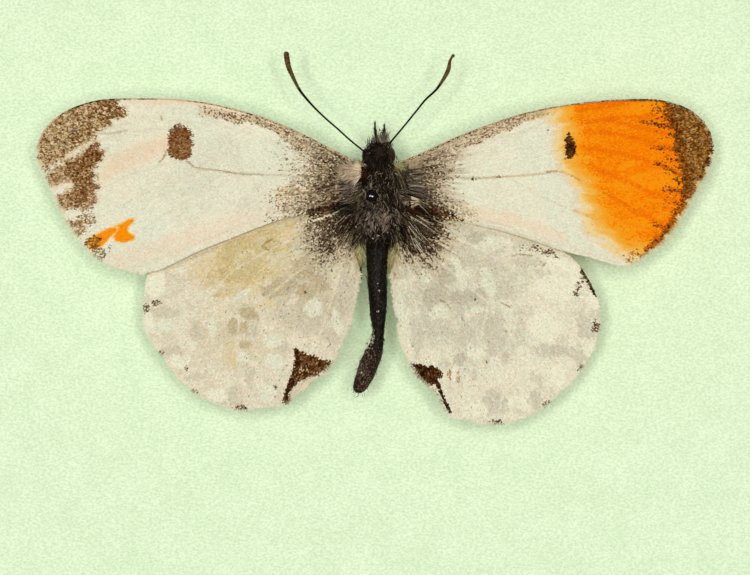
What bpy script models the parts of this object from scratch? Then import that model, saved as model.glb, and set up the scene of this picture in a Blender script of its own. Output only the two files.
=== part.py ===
"""A set butterfly on its pin, held in a cork slab that is faced with lining paper.

Metres, +Z up. The origin is on the underside of the slab, under its centre. +X runs across the
wings, +Y towards the antennae. Everything is one fixed assembly: the slab, the paper, the pin and
the insect.
"""

import math

import bmesh
import bpy
from mathutils import Vector

MM = 0.001

# Driving dimensions, in millimetres.
SLAB_X, SLAB_Y, SLAB_Z = 56.0, 44.0, 8.0
SLAB_EDGE = 0.5
PAPER_Z = 0.25
GAP = 0.3
PAPER_TOP = SLAB_Z + GAP + PAPER_Z

WING_PLANE = 16.5  # middle of the wings, about 8 mm over the paper
FORE_LIFT, HIND_DROP = 0.35, 0.35  # the forewings lie over the hindwings
WING_THICK = 0.16
MIDLINE_X = 0.2  # the body sits a little right of the middle of the span
INSECT_Y = 3.3  # the insect's own y = 0 lies this far in front of the slab's centre

# The set of the wings: they rise outwards, less and less, and fall a little to the rear. Beside the
# abdomen the hindwings dip.
RISE_OUT, RISE_LOSS, FALL_BACK = 0.03, 0.0009, 0.016
LEVEL_Y = 2.0
DIP, DIP_OUT, DIP_WIDE, DIP_Y, DIP_LONG = 0.45, 1.0, 1.1, 1.0, 3.0

# The rest is in the insect's own coordinates.
PIN_X, PIN_Y = -0.2, 2.68
PIN_R = 0.2
PIN_HEAD_R = 0.375
PIN_HEAD_Z = 24.4
PIN_POINT_Z = 1.9
PIN_TAPER = 2.0
PIN_HOLE_R = 0.5
BLOCK_HOLE_FLOOR = 1.4
THORAX_HOLE_LOW, THORAX_HOLE_HIGH = 13.0, 19.5
CUT_CLEAR = 1.0  # how far a cutter stands out of what it cuts

# Body parts, each as its centre and its three radii.
HEAD_X = MIDLINE_X + 0.05
EYE_OUT = 0.88
THORAX = (MIDLINE_X, 2.2, 16.2), (1.3, 2.45, 1.8)
HEAD = (HEAD_X, 5.62, 16.1), (0.5, 0.82, 0.75)
LEFT_EYE = (HEAD_X - EYE_OUT, 5.5, 16.1), (0.24, 0.5, 0.5)
RIGHT_EYE = (HEAD_X + EYE_OUT, 5.5, 16.1), (0.24, 0.5, 0.5)
LEFT_TEGULA = (-1.72, 4.45, 17.4), (0.45, 0.5, 0.16)
RIGHT_TEGULA = (1.75, 4.4, 17.4), (0.4, 0.5, 0.16)
# The coiled proboscis: its centre, the radius of the coil and the radius of the tube.
COIL_AT, COIL_R, COIL_TUBE_R = (0.3, 6.0, 14.5), 0.38, 0.1

# Wing margins as (x, y), from the body out to the tip: the front edge, and then the way back along
# the hind and outer edges. The two sides of this insect differ, so each wing has its own margins.
LEFT_FORE_FRONT = [
    (-1.15, 4.80), (-2.0, 5.4), (-3.0, 5.9), (-5.0, 6.93), (-7.0, 7.8), (-9.0, 8.4), (-11.3, 8.97),
    (-13.7, 9.2), (-16.3, 9.23), (-18.3, 9.1), (-20.0, 8.65), (-21.2, 7.95), (-22.0, 7.1),
    (-22.4, 6.2), (-22.45, 5.9),
]
LEFT_FORE_REAR = [
    (-1.45, 2.35), (-2.35, 2.05), (-4.3, 1.6), (-6.0, 1.3), (-7.7, 0.73), (-9.7, -0.07),
    (-11.7, -0.87), (-13.3, -1.7), (-14.3, -2.13), (-15.1, -2.27), (-16.3, -2.13), (-17.5, -1.73),
    (-18.5, -1.2), (-19.4, -0.35), (-20.2, 0.8), (-20.8, 1.93), (-21.5, 3.13), (-21.9, 4.2),
    (-22.35, 5.1), (-22.45, 5.5),
]
RIGHT_FORE_FRONT = [
    (1.55, 4.80), (2.2, 5.2), (3.3, 5.67), (5.0, 6.47), (7.0, 7.27), (9.0, 7.97), (11.0, 8.5),
    (13.3, 8.9), (15.7, 9.13), (18.0, 9.2), (19.3, 9.07), (20.7, 8.6), (21.7, 7.9), (22.3, 7.0),
    (22.45, 6.1),
]
RIGHT_FORE_REAR = [
    (1.85, 2.35), (2.75, 1.9), (4.3, 1.35), (6.3, 0.95), (8.3, 0.47), (10.3, -0.13), (12.3, -0.83),
    (14.3, -1.33), (15.7, -1.73), (16.6, -1.85), (17.3, -1.5), (18.3, -0.83), (19.4, 0.13),
    (20.2, 1.3), (20.9, 2.53), (21.5, 3.4), (21.95, 4.25), (22.3, 5.1), (22.45, 5.7),
]
LEFT_HIND_FRONT = [
    (-1.55, 1.70), (-3.7, 2.2), (-6.3, 2.0), (-9.0, 1.07), (-11.3, 0.0), (-13.3, -0.93),
    (-14.5, -1.65), (-15.1, -2.4), (-15.35, -3.5), (-15.4, -4.5), (-15.4, -4.8),
]
LEFT_HIND_REAR = [
    (-1.25, 0.20), (-1.0, -1.6), (-1.2, -3.47), (-1.6, -5.13), (-2.15, -6.8), (-2.75, -8.1),
    (-3.7, -9.1), (-4.7, -9.87), (-5.5, -10.6), (-6.1, -11.05), (-7.5, -11.23), (-9.0, -11.35),
    (-10.7, -10.9), (-12.0, -10.15), (-13.3, -8.87), (-14.3, -7.53), (-15.05, -6.4), (-15.35, -5.3),
]
RIGHT_HIND_FRONT = [
    (1.95, 1.70), (3.7, 2.13), (6.3, 2.0), (9.0, 1.2), (11.0, 0.2), (12.3, -0.75), (13.3, -1.5),
    (14.2, -2.67), (14.8, -4.0), (15.0, -5.1),
]
RIGHT_HIND_REAR = [
    (1.55, 0.20), (1.1, -1.87), (1.2, -3.47), (1.47, -4.93), (1.8, -6.8), (2.3, -8.25),
    (3.0, -9.2), (3.75, -9.8), (4.3, -10.5), (4.9, -11.65), (6.3, -12.1), (8.0, -12.3),
    (9.7, -12.0), (11.3, -11.1), (12.8, -9.8), (14.0, -8.27), (14.7, -6.8), (15.0, -5.6),
]
FORE_ALONG, HIND_ALONG, ACROSS = 26, 24, 8  # the steps of a wing's grid

# Routes with a radius at each point: (x, y, z, radius).
LEFT_ANTENNA = [
    (-0.93, 6.25, 16.5, 0.07), (-1.67, 6.55, 16.6, 0.07), (-2.5, 7.25, 16.7, 0.07),
    (-3.33, 8.0, 16.8, 0.07), (-4.2, 8.9, 16.9, 0.07), (-5.0, 9.87, 17.0, 0.09),
    (-5.47, 10.73, 17.1, 0.13), (-5.75, 11.4, 17.15, 0.17), (-5.87, 12.0, 17.2, 0.19),
    (-5.9, 12.35, 17.2, 0.14),
]
RIGHT_ANTENNA = [
    (1.07, 6.5, 16.5, 0.07), (1.55, 7.03, 16.6, 0.07), (2.05, 7.6, 16.7, 0.07),
    (2.7, 8.4, 16.8, 0.07), (3.33, 9.17, 16.9, 0.07), (4.07, 9.87, 17.0, 0.08),
    (4.53, 10.53, 17.1, 0.12), (4.87, 11.17, 17.15, 0.15), (5.0, 11.73, 17.2, 0.1),
    (5.2, 12.12, 17.25, 0.12),
]
ABDOMEN = [
    (0.17, -0.55, 16.0, 0.74), (0.15, -1.8, 15.95, 0.68), (0.15, -2.8, 15.9, 0.61),
    (0.2, -4.1, 15.85, 0.57), (0.2, -4.9, 15.8, 0.52), (0.23, -5.6, 15.75, 0.42),
    (0.2, -6.3, 15.7, 0.38), (0.13, -7.0, 15.65, 0.42), (-0.1, -7.75, 15.6, 0.55),
    (-0.35, -8.3, 15.55, 0.6), (-0.65, -9.1, 15.5, 0.59), (-0.9, -9.75, 15.45, 0.54),
    (-1.02, -10.1, 15.4, 0.42), (-1.07, -10.35, 15.4, 0.2),
]
LEFT_PALP = [
    (0.08, 6.75, 15.9, 0.13), (0.04, 7.1, 16.0, 0.12), (0.0, 7.45, 16.15, 0.09),
    (0.0, 7.7, 16.3, 0.04),
]
RIGHT_PALP = [
    (0.6, 6.75, 15.9, 0.13), (0.62, 7.05, 16.0, 0.12), (0.62, 7.3, 16.15, 0.09),
    (0.6, 7.5, 16.3, 0.04),
]
# Legs of the left side, folded under the thorax. The right side mirrors them about MIDLINE_X.
LEGS = {
    "foreleg": [
        (-0.35, 3.6, 14.3, 0.12), (-1.1, 3.9, 13.6, 0.1), (-0.9, 2.6, 13.0, 0.08),
        (-0.6, 1.2, 12.9, 0.05),
    ],
    "midleg": [
        (-0.45, 2.2, 13.9, 0.12), (-1.6, 1.9, 13.4, 0.1), (-1.0, 0.6, 12.9, 0.08),
        (-0.8, -0.8, 12.8, 0.05),
    ],
    "hindleg": [
        (-0.4, 0.9, 14.1, 0.12), (-1.5, 0.2, 13.6, 0.1), (-1.0, -1.3, 13.1, 0.08),
        (-0.9, -2.8, 13.0, 0.05),
    ],
}


def clear_scene():
    for obj in list(bpy.data.objects):
        bpy.data.objects.remove(obj, do_unlink=True)


clear_scene()
BUTTERFLY = bpy.data.collections.new("pinned_butterfly")
CUTTERS = bpy.data.collections.new("cutters")
bpy.context.scene.collection.children.link(BUTTERFLY)
bpy.context.scene.collection.children.link(CUTTERS)


def material(name, colour, roughness, metallic=0.0):
    mat = bpy.data.materials.new(name)
    mat.use_nodes = True
    shader = mat.node_tree.nodes["Principled BSDF"]
    shader.inputs["Base Color"].default_value = (*colour, 1.0)
    shader.inputs["Roughness"].default_value = roughness
    shader.inputs["Metallic"].default_value = metallic
    return mat


def add(name, data, mat=None, parent=None, at=(0.0, 0.0, 0.0)):
    """Links a mesh or a curve as an object at a point in millimetres.

    The point is in world coordinates, or in the insect's own ones where it has a parent.
    """
    obj = bpy.data.objects.new(name, data)
    BUTTERFLY.objects.link(obj)
    obj.location = Vector(at) * MM
    if parent is not None:
        obj.parent = parent
        obj.location -= Vector((PIN_X, PIN_Y, WING_PLANE)) * MM
    if mat is not None:
        data.materials.append(mat)
    return obj


def mesh_from(bm, name):
    data = bpy.data.meshes.new(name)
    bm.to_mesh(data)
    bm.free()
    return data


def smooth_shade(obj, degrees=40.0):
    obj.data.shade_smooth()
    obj.data.set_sharp_from_angle(angle=math.radians(degrees))


def cutter_cylinder(name, radius, low, high, at_x, at_y):
    bm = bmesh.new()
    bmesh.ops.create_cone(bm, cap_ends=True, segments=24, radius1=radius * MM,
                          radius2=radius * MM, depth=(high - low) * MM)
    obj = bpy.data.objects.new(name, mesh_from(bm, name))
    CUTTERS.objects.link(obj)
    obj.location = Vector((at_x, at_y + INSECT_Y, (low + high) / 2)) * MM
    obj.hide_render = True
    obj.display_type = "WIRE"
    return obj


def cut(obj, cutter):
    modifier = obj.modifiers.new("pin_hole", "BOOLEAN")
    modifier.operation = "DIFFERENCE"
    modifier.solver = "EXACT"
    modifier.object = cutter


def slab(name, thick, low, mat, edge):
    bm = bmesh.new()
    bmesh.ops.create_cube(bm, size=1.0)
    bmesh.ops.scale(bm, vec=Vector((SLAB_X, SLAB_Y, thick)) * MM, verts=bm.verts)
    obj = add(name, mesh_from(bm, name), mat, at=(0.0, 0.0, low + thick / 2))
    if edge:
        bevel = obj.modifiers.new("edge", "BEVEL")
        bevel.width = edge * MM
        bevel.segments = 2
    return obj


def ball(name, mat, parent, place, segments=16, rings=10):
    centre, radii = place
    bm = bmesh.new()
    bmesh.ops.create_uvsphere(bm, u_segments=segments, v_segments=rings, radius=1.0)
    bmesh.ops.scale(bm, vec=Vector(radii) * MM, verts=bm.verts)
    obj = add(name, mesh_from(bm, name), mat, parent, centre)
    smooth_shade(obj)
    return obj


def through(points, count):
    """`count` points evenly spaced along a smooth curve that passes through the given ones."""
    known = [Vector(p) for p in points]
    known = [known[0] * 2 - known[1], *known, known[-1] * 2 - known[-2]]
    fine = []
    for a, b, c, d in zip(known, known[1:], known[2:], known[3:]):
        for step in range(16):
            t = step / 16
            fine.append(0.5 * (2 * b + (c - a) * t + (2 * a - 5 * b + 4 * c - d) * t * t
                               + (3 * b - a - 3 * c + d) * t ** 3))
    fine.append(known[-2])
    run = [0.0]
    for a, b in zip(fine, fine[1:]):
        run.append(run[-1] + (b - a).length)
    found, k = [], 0
    for i in range(count):
        want = run[-1] * i / (count - 1)
        while k < len(run) - 2 and run[k + 1] < want:
            k += 1
        share = (want - run[k]) / max(run[k + 1] - run[k], 1e-9)
        found.append(fine[k].lerp(fine[k + 1], min(max(share, 0.0), 1.0)))
    return found


def tube(name, route, mat, parent, count, sides=2, bend_smooth=True):
    """A round tapering limb along a route of (x, y, z, radius)."""
    points = through(route, count) if bend_smooth else [Vector(p) for p in route]
    start = points[0]
    curve = bpy.data.curves.new(name, "CURVE")
    curve.dimensions = "3D"
    curve.bevel_depth = 1.0 * MM
    curve.bevel_resolution = sides
    curve.use_fill_caps = True
    spline = curve.splines.new("POLY")
    spline.points.add(len(points) - 1)
    for point, p in zip(spline.points, points):
        point.co = (*(Vector(p[:3]) - Vector(start[:3])) * MM, 1.0)
        point.radius = p[3]
    return add(name, curve, mat, parent, start[:3])


def wing_height(x, y):
    """Height of the set wings' middle surface."""
    out = abs(x - MIDLINE_X)
    height = WING_PLANE + RISE_OUT * out - RISE_LOSS * out * out + FALL_BACK * (y - LEVEL_Y)
    if y < DIP_Y:
        beside = math.exp(-(((out - DIP_OUT) / DIP_WIDE) ** 2))
        height -= DIP * beside * min(1.0, (DIP_Y - y) / DIP_LONG)
    return height


def wing(name, front, rear, lift, mat, parent, along, across):
    """A thin membrane lofted between its front and rear margins."""
    first, last = through(front, along + 1), through(rear, along + 1)
    root = Vector((first[0].x, first[0].y, WING_PLANE + lift))
    bm = bmesh.new()
    bmesh.ops.create_grid(bm, x_segments=along, y_segments=across, size=0.5)
    for vert in bm.verts:
        i = round((vert.co.x + 0.5) * along)
        at = first[i].lerp(last[i], vert.co.y + 0.5)
        vert.co = (Vector((at.x, at.y, wing_height(at.x, at.y) + lift)) - root) * MM
    obj = add(name, mesh_from(bm, name), mat, parent, root)
    solid = obj.modifiers.new("membrane", "SOLIDIFY")
    solid.thickness = WING_THICK * MM
    solid.offset = 0.0
    smooth_shade(obj)
    return obj


def mirrored(route):
    return [(2 * MIDLINE_X - x, y, z, r) for x, y, z, r in route]


CORK = material("cork", (0.42, 0.25, 0.12), 0.85)
PAPER = material("lining_paper", (0.74, 0.90, 0.61), 0.9)
STEEL = material("blackened_steel", (0.02, 0.02, 0.022), 0.3, 0.9)
ENAMEL = material("black_enamel", (0.004, 0.004, 0.005), 0.12)
CUTICLE = material("dark_cuticle", (0.022, 0.016, 0.014), 0.55)
EYE = material("eye", (0.05, 0.03, 0.022), 0.35)
FUR = material("grey_brown_fur", (0.05, 0.04, 0.032), 0.8)
PALE_TUFT = material("cream_tuft", (0.62, 0.47, 0.35), 0.8)
CREAM_WING = material("cream_wing", (0.79, 0.74, 0.60), 0.7)
ORANGE_WING = material("orange_tipped_wing", (0.86, 0.40, 0.06), 0.7)
BUFF_WING = material("buff_hindwing", (0.74, 0.66, 0.50), 0.7)
PALE_WING = material("pale_hindwing", (0.76, 0.70, 0.56), 0.7)

insect = bpy.data.objects.new("insect", None)
BUTTERFLY.objects.link(insect)
insect.location = Vector((PIN_X, PIN_Y + INSECT_Y, WING_PLANE)) * MM

# The slab, its facing and the pin.
block = slab("cork_block", SLAB_Z, 0.0, CORK, SLAB_EDGE)
cut(block, cutter_cylinder("block_hole", PIN_HOLE_R, BLOCK_HOLE_FLOOR, SLAB_Z + CUT_CLEAR,
                           PIN_X, PIN_Y))
paper = slab("lining_paper", PAPER_Z, SLAB_Z + GAP, PAPER, 0.0)
cut(paper, cutter_cylinder("paper_hole", PIN_HOLE_R, SLAB_Z - CUT_CLEAR, PAPER_TOP + CUT_CLEAR,
                           PIN_X, PIN_Y))

shaft_top = PIN_HEAD_Z - PIN_HEAD_R - GAP
profile = bmesh.new()
outline = [(0.0, shaft_top), (PIN_R, shaft_top), (PIN_R, PIN_POINT_Z + PIN_TAPER),
           (0.0, PIN_POINT_Z)]
corners = [profile.verts.new(Vector((r, 0.0, z)) * MM) for r, z in outline]
for a, b in zip(corners, corners[1:]):
    profile.edges.new((a, b))
shaft = add("pin_shaft", mesh_from(profile, "pin_shaft"), STEEL, insect, (PIN_X, PIN_Y, 0.0))
turn = shaft.modifiers.new("turned", "SCREW")
turn.steps = turn.render_steps = 16
turn.use_merge_vertices = True
turn.merge_threshold = 1e-6
smooth_shade(shaft)
ball("pin_head", ENAMEL, insect, ((PIN_X, PIN_Y, PIN_HEAD_Z), (PIN_HEAD_R,) * 3))

# The body.
thorax = ball("thorax", FUR, insect, THORAX, 24, 14)
cut(thorax, cutter_cylinder("thorax_hole", PIN_HOLE_R, THORAX_HOLE_LOW, THORAX_HOLE_HIGH,
                            PIN_X, PIN_Y))
ball("head", FUR, insect, HEAD)
ball("left_eye", EYE, insect, LEFT_EYE, 12, 8)
ball("right_eye", EYE, insect, RIGHT_EYE, 12, 8)
tube("left_antenna", LEFT_ANTENNA, CUTICLE, insect, 15)
tube("right_antenna", RIGHT_ANTENNA, CUTICLE, insect, 15)
tube("left_palp", LEFT_PALP, FUR, insect, 5)
tube("right_palp", RIGHT_PALP, FUR, insect, 5)
tube("abdomen", ABDOMEN, CUTICLE, insect, 19, sides=4)
ball("left_tegula", PALE_TUFT, insect, LEFT_TEGULA, 12, 8)
ball("right_tegula", FUR, insect, RIGHT_TEGULA, 12, 8)

coil = bmesh.new()
bmesh.ops.create_circle(coil, segments=8, radius=COIL_TUBE_R * MM, cap_ends=False)
bmesh.ops.translate(coil, vec=Vector((COIL_R, 0.0, 0.0)) * MM, verts=coil.verts)
proboscis = add("proboscis", mesh_from(coil, "proboscis"), CUTICLE, insect, COIL_AT)
turn = proboscis.modifiers.new("coiled", "SCREW")
turn.axis = "Y"
turn.steps = turn.render_steps = 18
turn.use_merge_vertices = True
turn.merge_threshold = 1e-6
proboscis.rotation_euler = (0.0, 0.0, math.radians(90.0))

for leg, route in LEGS.items():
    tube("left_" + leg, route, CUTICLE, insect, 0, bend_smooth=False)
    tube("right_" + leg, mirrored(route), CUTICLE, insect, 0, bend_smooth=False)

# The wings.
for name, front, rear, lift, mat, along in (
    ("left_forewing", LEFT_FORE_FRONT, LEFT_FORE_REAR, FORE_LIFT, CREAM_WING, FORE_ALONG),
    ("right_forewing", RIGHT_FORE_FRONT, RIGHT_FORE_REAR, FORE_LIFT, ORANGE_WING, FORE_ALONG),
    ("left_hindwing", LEFT_HIND_FRONT, LEFT_HIND_REAR, -HIND_DROP, BUFF_WING, HIND_ALONG),
    ("right_hindwing", RIGHT_HIND_FRONT, RIGHT_HIND_REAR, -HIND_DROP, PALE_WING, HIND_ALONG),
):
    wing(name, front, rear, lift, mat, insect, along, ACROSS)
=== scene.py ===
"""The looks of the pinned butterfly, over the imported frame.

Shapes of the insect are in millimetres in its own coordinates, as in the CAD: x across the wings, y towards
the antennae. Its markings were read off the photograph, so they are given in that picture's pixels, column
and row, and seen() turns them into millimetres.
"""

import math

import bpy
import numpy as np
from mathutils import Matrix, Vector


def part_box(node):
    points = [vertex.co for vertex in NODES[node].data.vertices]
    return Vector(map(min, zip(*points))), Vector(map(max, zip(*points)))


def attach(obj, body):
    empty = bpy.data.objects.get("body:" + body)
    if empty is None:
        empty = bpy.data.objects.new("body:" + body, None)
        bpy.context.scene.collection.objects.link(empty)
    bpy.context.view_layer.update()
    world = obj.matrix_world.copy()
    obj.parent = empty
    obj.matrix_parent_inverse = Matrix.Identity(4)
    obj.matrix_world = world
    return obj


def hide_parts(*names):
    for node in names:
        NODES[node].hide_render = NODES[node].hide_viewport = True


MM = 0.001
FAR = 1e9
PIXELS_PER_MM = 15.0
SEEN_X, SEEN_Y = 375.0, 238.0  # the pixel at the insect's own x = y = 0

INSECT_Y = 3.3  # the insect's own y = 0 lies this far in front of the slab's centre
WING_PLANE = 16.5
FORE_LIFT, HIND_DROP = 0.35, 0.35
MIDLINE_X = 0.2
PIN_X, PIN_Y = -0.2, 2.68
PIN_HEAD_R, PIN_HEAD_Z = 0.375, 24.4
EYE_CELLS, CORK_CELLS = 32000, 1300  # cells to the metre: an eye's facets, and the cork's granules
GLUE_INSET = (0.35, 0.35)  # of the film that joins paper and cork, from the paper's edges

MEMBRANE = 0.03  # thickness of a wing's membrane
RISE_OUT, RISE_LOSS = 0.030, 0.0009  # how the wings rise away from the body, and how that slackens
FALL_BACK, LEVEL_Y = 0.016, 2.0  # how they fall towards the tail, from this y
DIP, DIP_OUT, DIP_WIDE, DIP_Y, DIP_LONG = 0.45, 1.0, 1.1, 1.0, 3.0  # the trough beside the abdomen
VEIN_HIGH, VEIN_LOSS, VEIN_WIDE = 0.06, 0.03, 1.5  # at its root, lost by its end, half its width in pixels
SLACK, SLACK_WIDE = 0.11, 12  # how far the skin sags between veins, this many pixels from one
RIPPLE, RIPPLE_SIZE = 0.14, 2.7
VEIN_POINTS, EDGE_POINTS = 24, 60  # along a vein, and along a margin, where distances from them are taken
SCALE_GAP = 0.004  # how far the scales' roots stand off the membrane
LIGHT = 1.08  # what a white face under the lights gives off, so a seen colour is a finish times this

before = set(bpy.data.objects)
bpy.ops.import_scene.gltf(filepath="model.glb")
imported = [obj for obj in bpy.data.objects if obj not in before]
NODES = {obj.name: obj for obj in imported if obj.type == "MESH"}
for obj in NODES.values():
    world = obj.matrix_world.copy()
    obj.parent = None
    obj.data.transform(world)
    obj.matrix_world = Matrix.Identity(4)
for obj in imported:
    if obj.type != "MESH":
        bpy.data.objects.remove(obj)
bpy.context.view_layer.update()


# --------------------------------------------------------------------------------------------------
# Numbers: noise, curves and distances, all on arrays


def soft(low, high, x):
    """0 below low, 1 above high, and smooth between them."""
    t = np.clip((x - low) / (high - low), 0.0, 1.0)
    return t * t * (3 - 2 * t)


def lattice(i, j, seed):
    """A repeatable random number from 0 to 1 for each pair of whole numbers."""
    n = (i.astype(np.int64) * 374761393 + j.astype(np.int64) * 668265263 + seed * 982451653) & 0xFFFFFFFF
    n = ((n ^ (n >> 13)) * 1274126177) & 0xFFFFFFFF
    n = ((n ^ (n >> 16)) * 2246822519) & 0xFFFFFFFF
    return ((n ^ (n >> 15)) & 0xFFFFFF) / 0xFFFFFF


def noise(x, y, size, seed=0):
    """Smooth noise from 0 to 1 with patches about `size` across."""
    x, y = np.asarray(x) / size, np.asarray(y) / size
    i, j = np.floor(x), np.floor(y)
    u, v = x - i, y - j
    u, v = u * u * (3 - 2 * u), v * v * (3 - 2 * v)
    low = lattice(i, j, seed) * (1 - u) + lattice(i + 1, j, seed) * u
    high = lattice(i, j + 1, seed) * (1 - u) + lattice(i + 1, j + 1, seed) * u
    return low * (1 - v) + high * v


def rough_noise(x, y, size, seed=0):
    """Noise of three sizes, from 0 to 1."""
    coarse, fine = noise(x, y, size, seed) * 4, noise(x, y, size / 4, seed + 2)
    return (coarse + noise(x, y, size / 2, seed + 1) * 2 + fine) / 7


def through(points, count):
    """`count` even points along a smooth curve through the given ones; values after the third ride along."""
    known = np.asarray(points, float)
    known = np.vstack([2 * known[0] - known[1], known, 2 * known[-1] - known[-2]])
    t = np.linspace(0, 1, 16, endpoint=False)[:, None]
    fine = []
    for a, b, c, d in zip(known, known[1:], known[2:], known[3:]):
        cubic = 3 * b - a - 3 * c + d
        fine.append(0.5 * (2 * b + (c - a) * t + (2 * a - 5 * b + 4 * c - d) * t ** 2 + cubic * t ** 3))
    fine = np.vstack([*fine, known[-2:-1]])
    run = np.concatenate([[0], np.cumsum(np.linalg.norm(np.diff(fine[:, :3], axis=0), axis=1))])
    return np.stack([np.interp(np.linspace(0, run[-1], count), run, column) for column in fine.T], 1)


def seen(points):
    """Photograph pixels as the insect's millimetres."""
    points = np.asarray(points, float)
    return np.stack([(points[:, 0] - SEEN_X) / PIXELS_PER_MM, (SEEN_Y - points[:, 1]) / PIXELS_PER_MM], 1)


def pixel_of(x, y):
    return x * PIXELS_PER_MM + SEEN_X, SEEN_Y - y * PIXELS_PER_MM


def unit(vectors):
    return vectors / np.linalg.norm(vectors, axis=-1, keepdims=True)


def path_distance(x, y, path):
    """Distance from each point to a line of points, and the nearest place's share of the way along it."""
    path = np.asarray(path, float)
    best = np.full(np.shape(x), FAR)
    along = np.zeros(np.shape(x))
    steps = len(path) - 1
    for k in range(steps):
        ax, ay = path[k, :2]
        bx, by = path[k + 1, :2] - path[k, :2]
        t = np.clip(((x - ax) * bx + (y - ay) * by) / max(bx * bx + by * by, 1e-12), 0, 1)
        d = np.hypot(x - ax - t * bx, y - ay - t * by)
        nearer = d < best
        best = np.where(nearer, d, best)
        along = np.where(nearer, (k + t) / steps, along)
    return best, along


def depth_in(x, y, ring):
    """Distance inside a closed outline, and minus the distance outside it."""
    ring = np.asarray(ring, float)
    distance = path_distance(x, y, np.vstack([ring, ring[:1]]))[0]
    inside = np.zeros(np.shape(x), bool)
    for (ax, ay), (bx, by) in zip(ring[:, :2], np.roll(ring, -1, axis=0)[:, :2]):
        crosses = (ay > y) != (by > y)
        with np.errstate(divide="ignore", invalid="ignore"):
            inside ^= crosses & (x < (bx - ax) * (y - ay) / (by - ay) + ax)
    return np.where(inside, distance, -distance)


def oval(x, y, middle, radii, turn=0.0):
    """1 at the rim of an oval, less inside it."""
    cos, sin = math.cos(math.radians(turn)), math.sin(math.radians(turn))
    dx, dy = x - middle[0], y - middle[1]
    return np.hypot((dx * cos + dy * sin) / radii[0], (dy * cos - dx * sin) / radii[1])


# --------------------------------------------------------------------------------------------------
# Finishes


def linear(colour):
    c = np.asarray(colour, float) / 255
    return np.where(c <= 0.04045, c / 12.92, ((c + 0.055) / 1.055) ** 2.4)


def finish_of(colour):
    """The base colour that looks like this seen colour (0 to 255) under the scene's lights."""
    return np.minimum(linear(colour) / LIGHT, 0.9)


def node_finish(name, roughness, specular, metallic=0.0):
    """A new material with its shader's constant levels set, and its nodes for more."""
    mat = bpy.data.materials.new(name)
    mat.use_nodes = True
    nodes = mat.node_tree.nodes
    shader = nodes["Principled BSDF"]
    shader.inputs["Roughness"].default_value = roughness
    shader.inputs["Specular IOR Level"].default_value = specular
    shader.inputs["Metallic"].default_value = metallic
    return mat, nodes, mat.node_tree.links, shader


def add_bump(nodes, links, shader, height, depth, strength=1.0):
    """Bumps of a depth in millimetres."""
    bump = nodes.new("ShaderNodeBump")
    bump.inputs["Strength"].default_value = strength
    bump.inputs["Distance"].default_value = depth * MM
    links.new(height, bump.inputs["Height"])
    links.new(bump.outputs["Normal"], shader.inputs["Normal"])


def add_noise(nodes, links, size, detail, stretch=(1, 1, 1), turn=0.0):
    """Noise of a size in millimetres in the object's own space."""
    place = nodes.new("ShaderNodeTexCoord")
    mapping = nodes.new("ShaderNodeMapping")
    mapping.inputs["Scale"].default_value = stretch
    mapping.inputs["Rotation"].default_value = (0, 0, math.radians(turn))
    cloud = nodes.new("ShaderNodeTexNoise")
    cloud.inputs["Scale"].default_value = 1 / (size * MM)
    cloud.inputs["Detail"].default_value = detail
    links.new(place.outputs["Object"], mapping.inputs["Vector"])
    links.new(mapping.outputs["Vector"], cloud.inputs["Vector"])
    return cloud.outputs["Fac"]


def add_tones(nodes, links, factor, stops, low=0.3, high=0.7):
    """A ramp between seen colours."""
    tones = nodes.new("ShaderNodeValToRGB")
    elements = tones.color_ramp.elements
    while len(elements) < len(stops):
        elements.new(0.5)
    for k, colour in enumerate(stops):
        elements[k].position = low + (high - low) * k / (len(stops) - 1)
        elements[k].color = (*finish_of(colour), 1)
    links.new(factor, tones.inputs["Fac"])
    return tones.outputs["Color"]


def add_cells(nodes, links, scale):
    """The sockets of cells in the object's own space, this many to the metre."""
    place = nodes.new("ShaderNodeTexCoord")
    cells = nodes.new("ShaderNodeTexVoronoi")
    cells.inputs["Scale"].default_value = scale
    links.new(place.outputs["Object"], cells.inputs["Vector"])
    return cells.outputs


def add_math(nodes, links, operation, *values):
    """A maths node on sockets and plain numbers."""
    node = nodes.new("ShaderNodeMath")
    node.operation = operation
    for k, value in enumerate(values):
        if isinstance(value, float):
            node.inputs[k].default_value = value
        else:
            links.new(value, node.inputs[k])
    return node.outputs["Value"]


def shaded(nodes, links, shader, tones, shade):
    """The base colour from tones, darker or lighter by a shade."""
    mix = nodes.new("ShaderNodeVectorMath")
    mix.operation = "SCALE"
    links.new(tones, mix.inputs[0])
    links.new(shade, mix.inputs["Scale"])
    links.new(mix.outputs["Vector"], shader.inputs["Base Color"])


def clouded(name, stops, size, roughness, specular, bump, detail=5.0, metallic=0.0):
    """A finish clouded between seen colours by noise of a size in millimetres, with bumps that go with it."""
    mat, nodes, links, shader = node_finish(name, roughness, specular, metallic)
    cloud = add_noise(nodes, links, size, detail)
    links.new(add_tones(nodes, links, cloud, stops), shader.inputs["Base Color"])
    add_bump(nodes, links, shader, cloud, bump)
    return mat


def scale_finish(name, colour, roughness, specular):
    """One scale's or hair's colour, with fine ridges."""
    mat, nodes, links, shader = node_finish(name, roughness, specular)
    shader.inputs["Base Color"].default_value = (*finish_of(colour), 1)
    add_bump(nodes, links, shader, add_noise(nodes, links, 0.017, 1.0), 0.004, 0.4)
    return mat


def ramp(name, stops, count):
    """`count` colours along a line of seen colours, as {name_k: colour}."""
    stops = np.asarray(stops, float)
    at = np.linspace(0, len(stops) - 1, count)
    columns = [np.interp(at, np.arange(len(stops)), column) for column in stops.T]
    return {f"{name}_{k}": colour for k, colour in enumerate(np.stack(columns, 1))}


def finishes(colours, roughness, specular):
    made = [scale_finish(name, colour, roughness, specular) for name, colour in colours.items()]
    return made, np.array(list(colours.values()), float)


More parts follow.
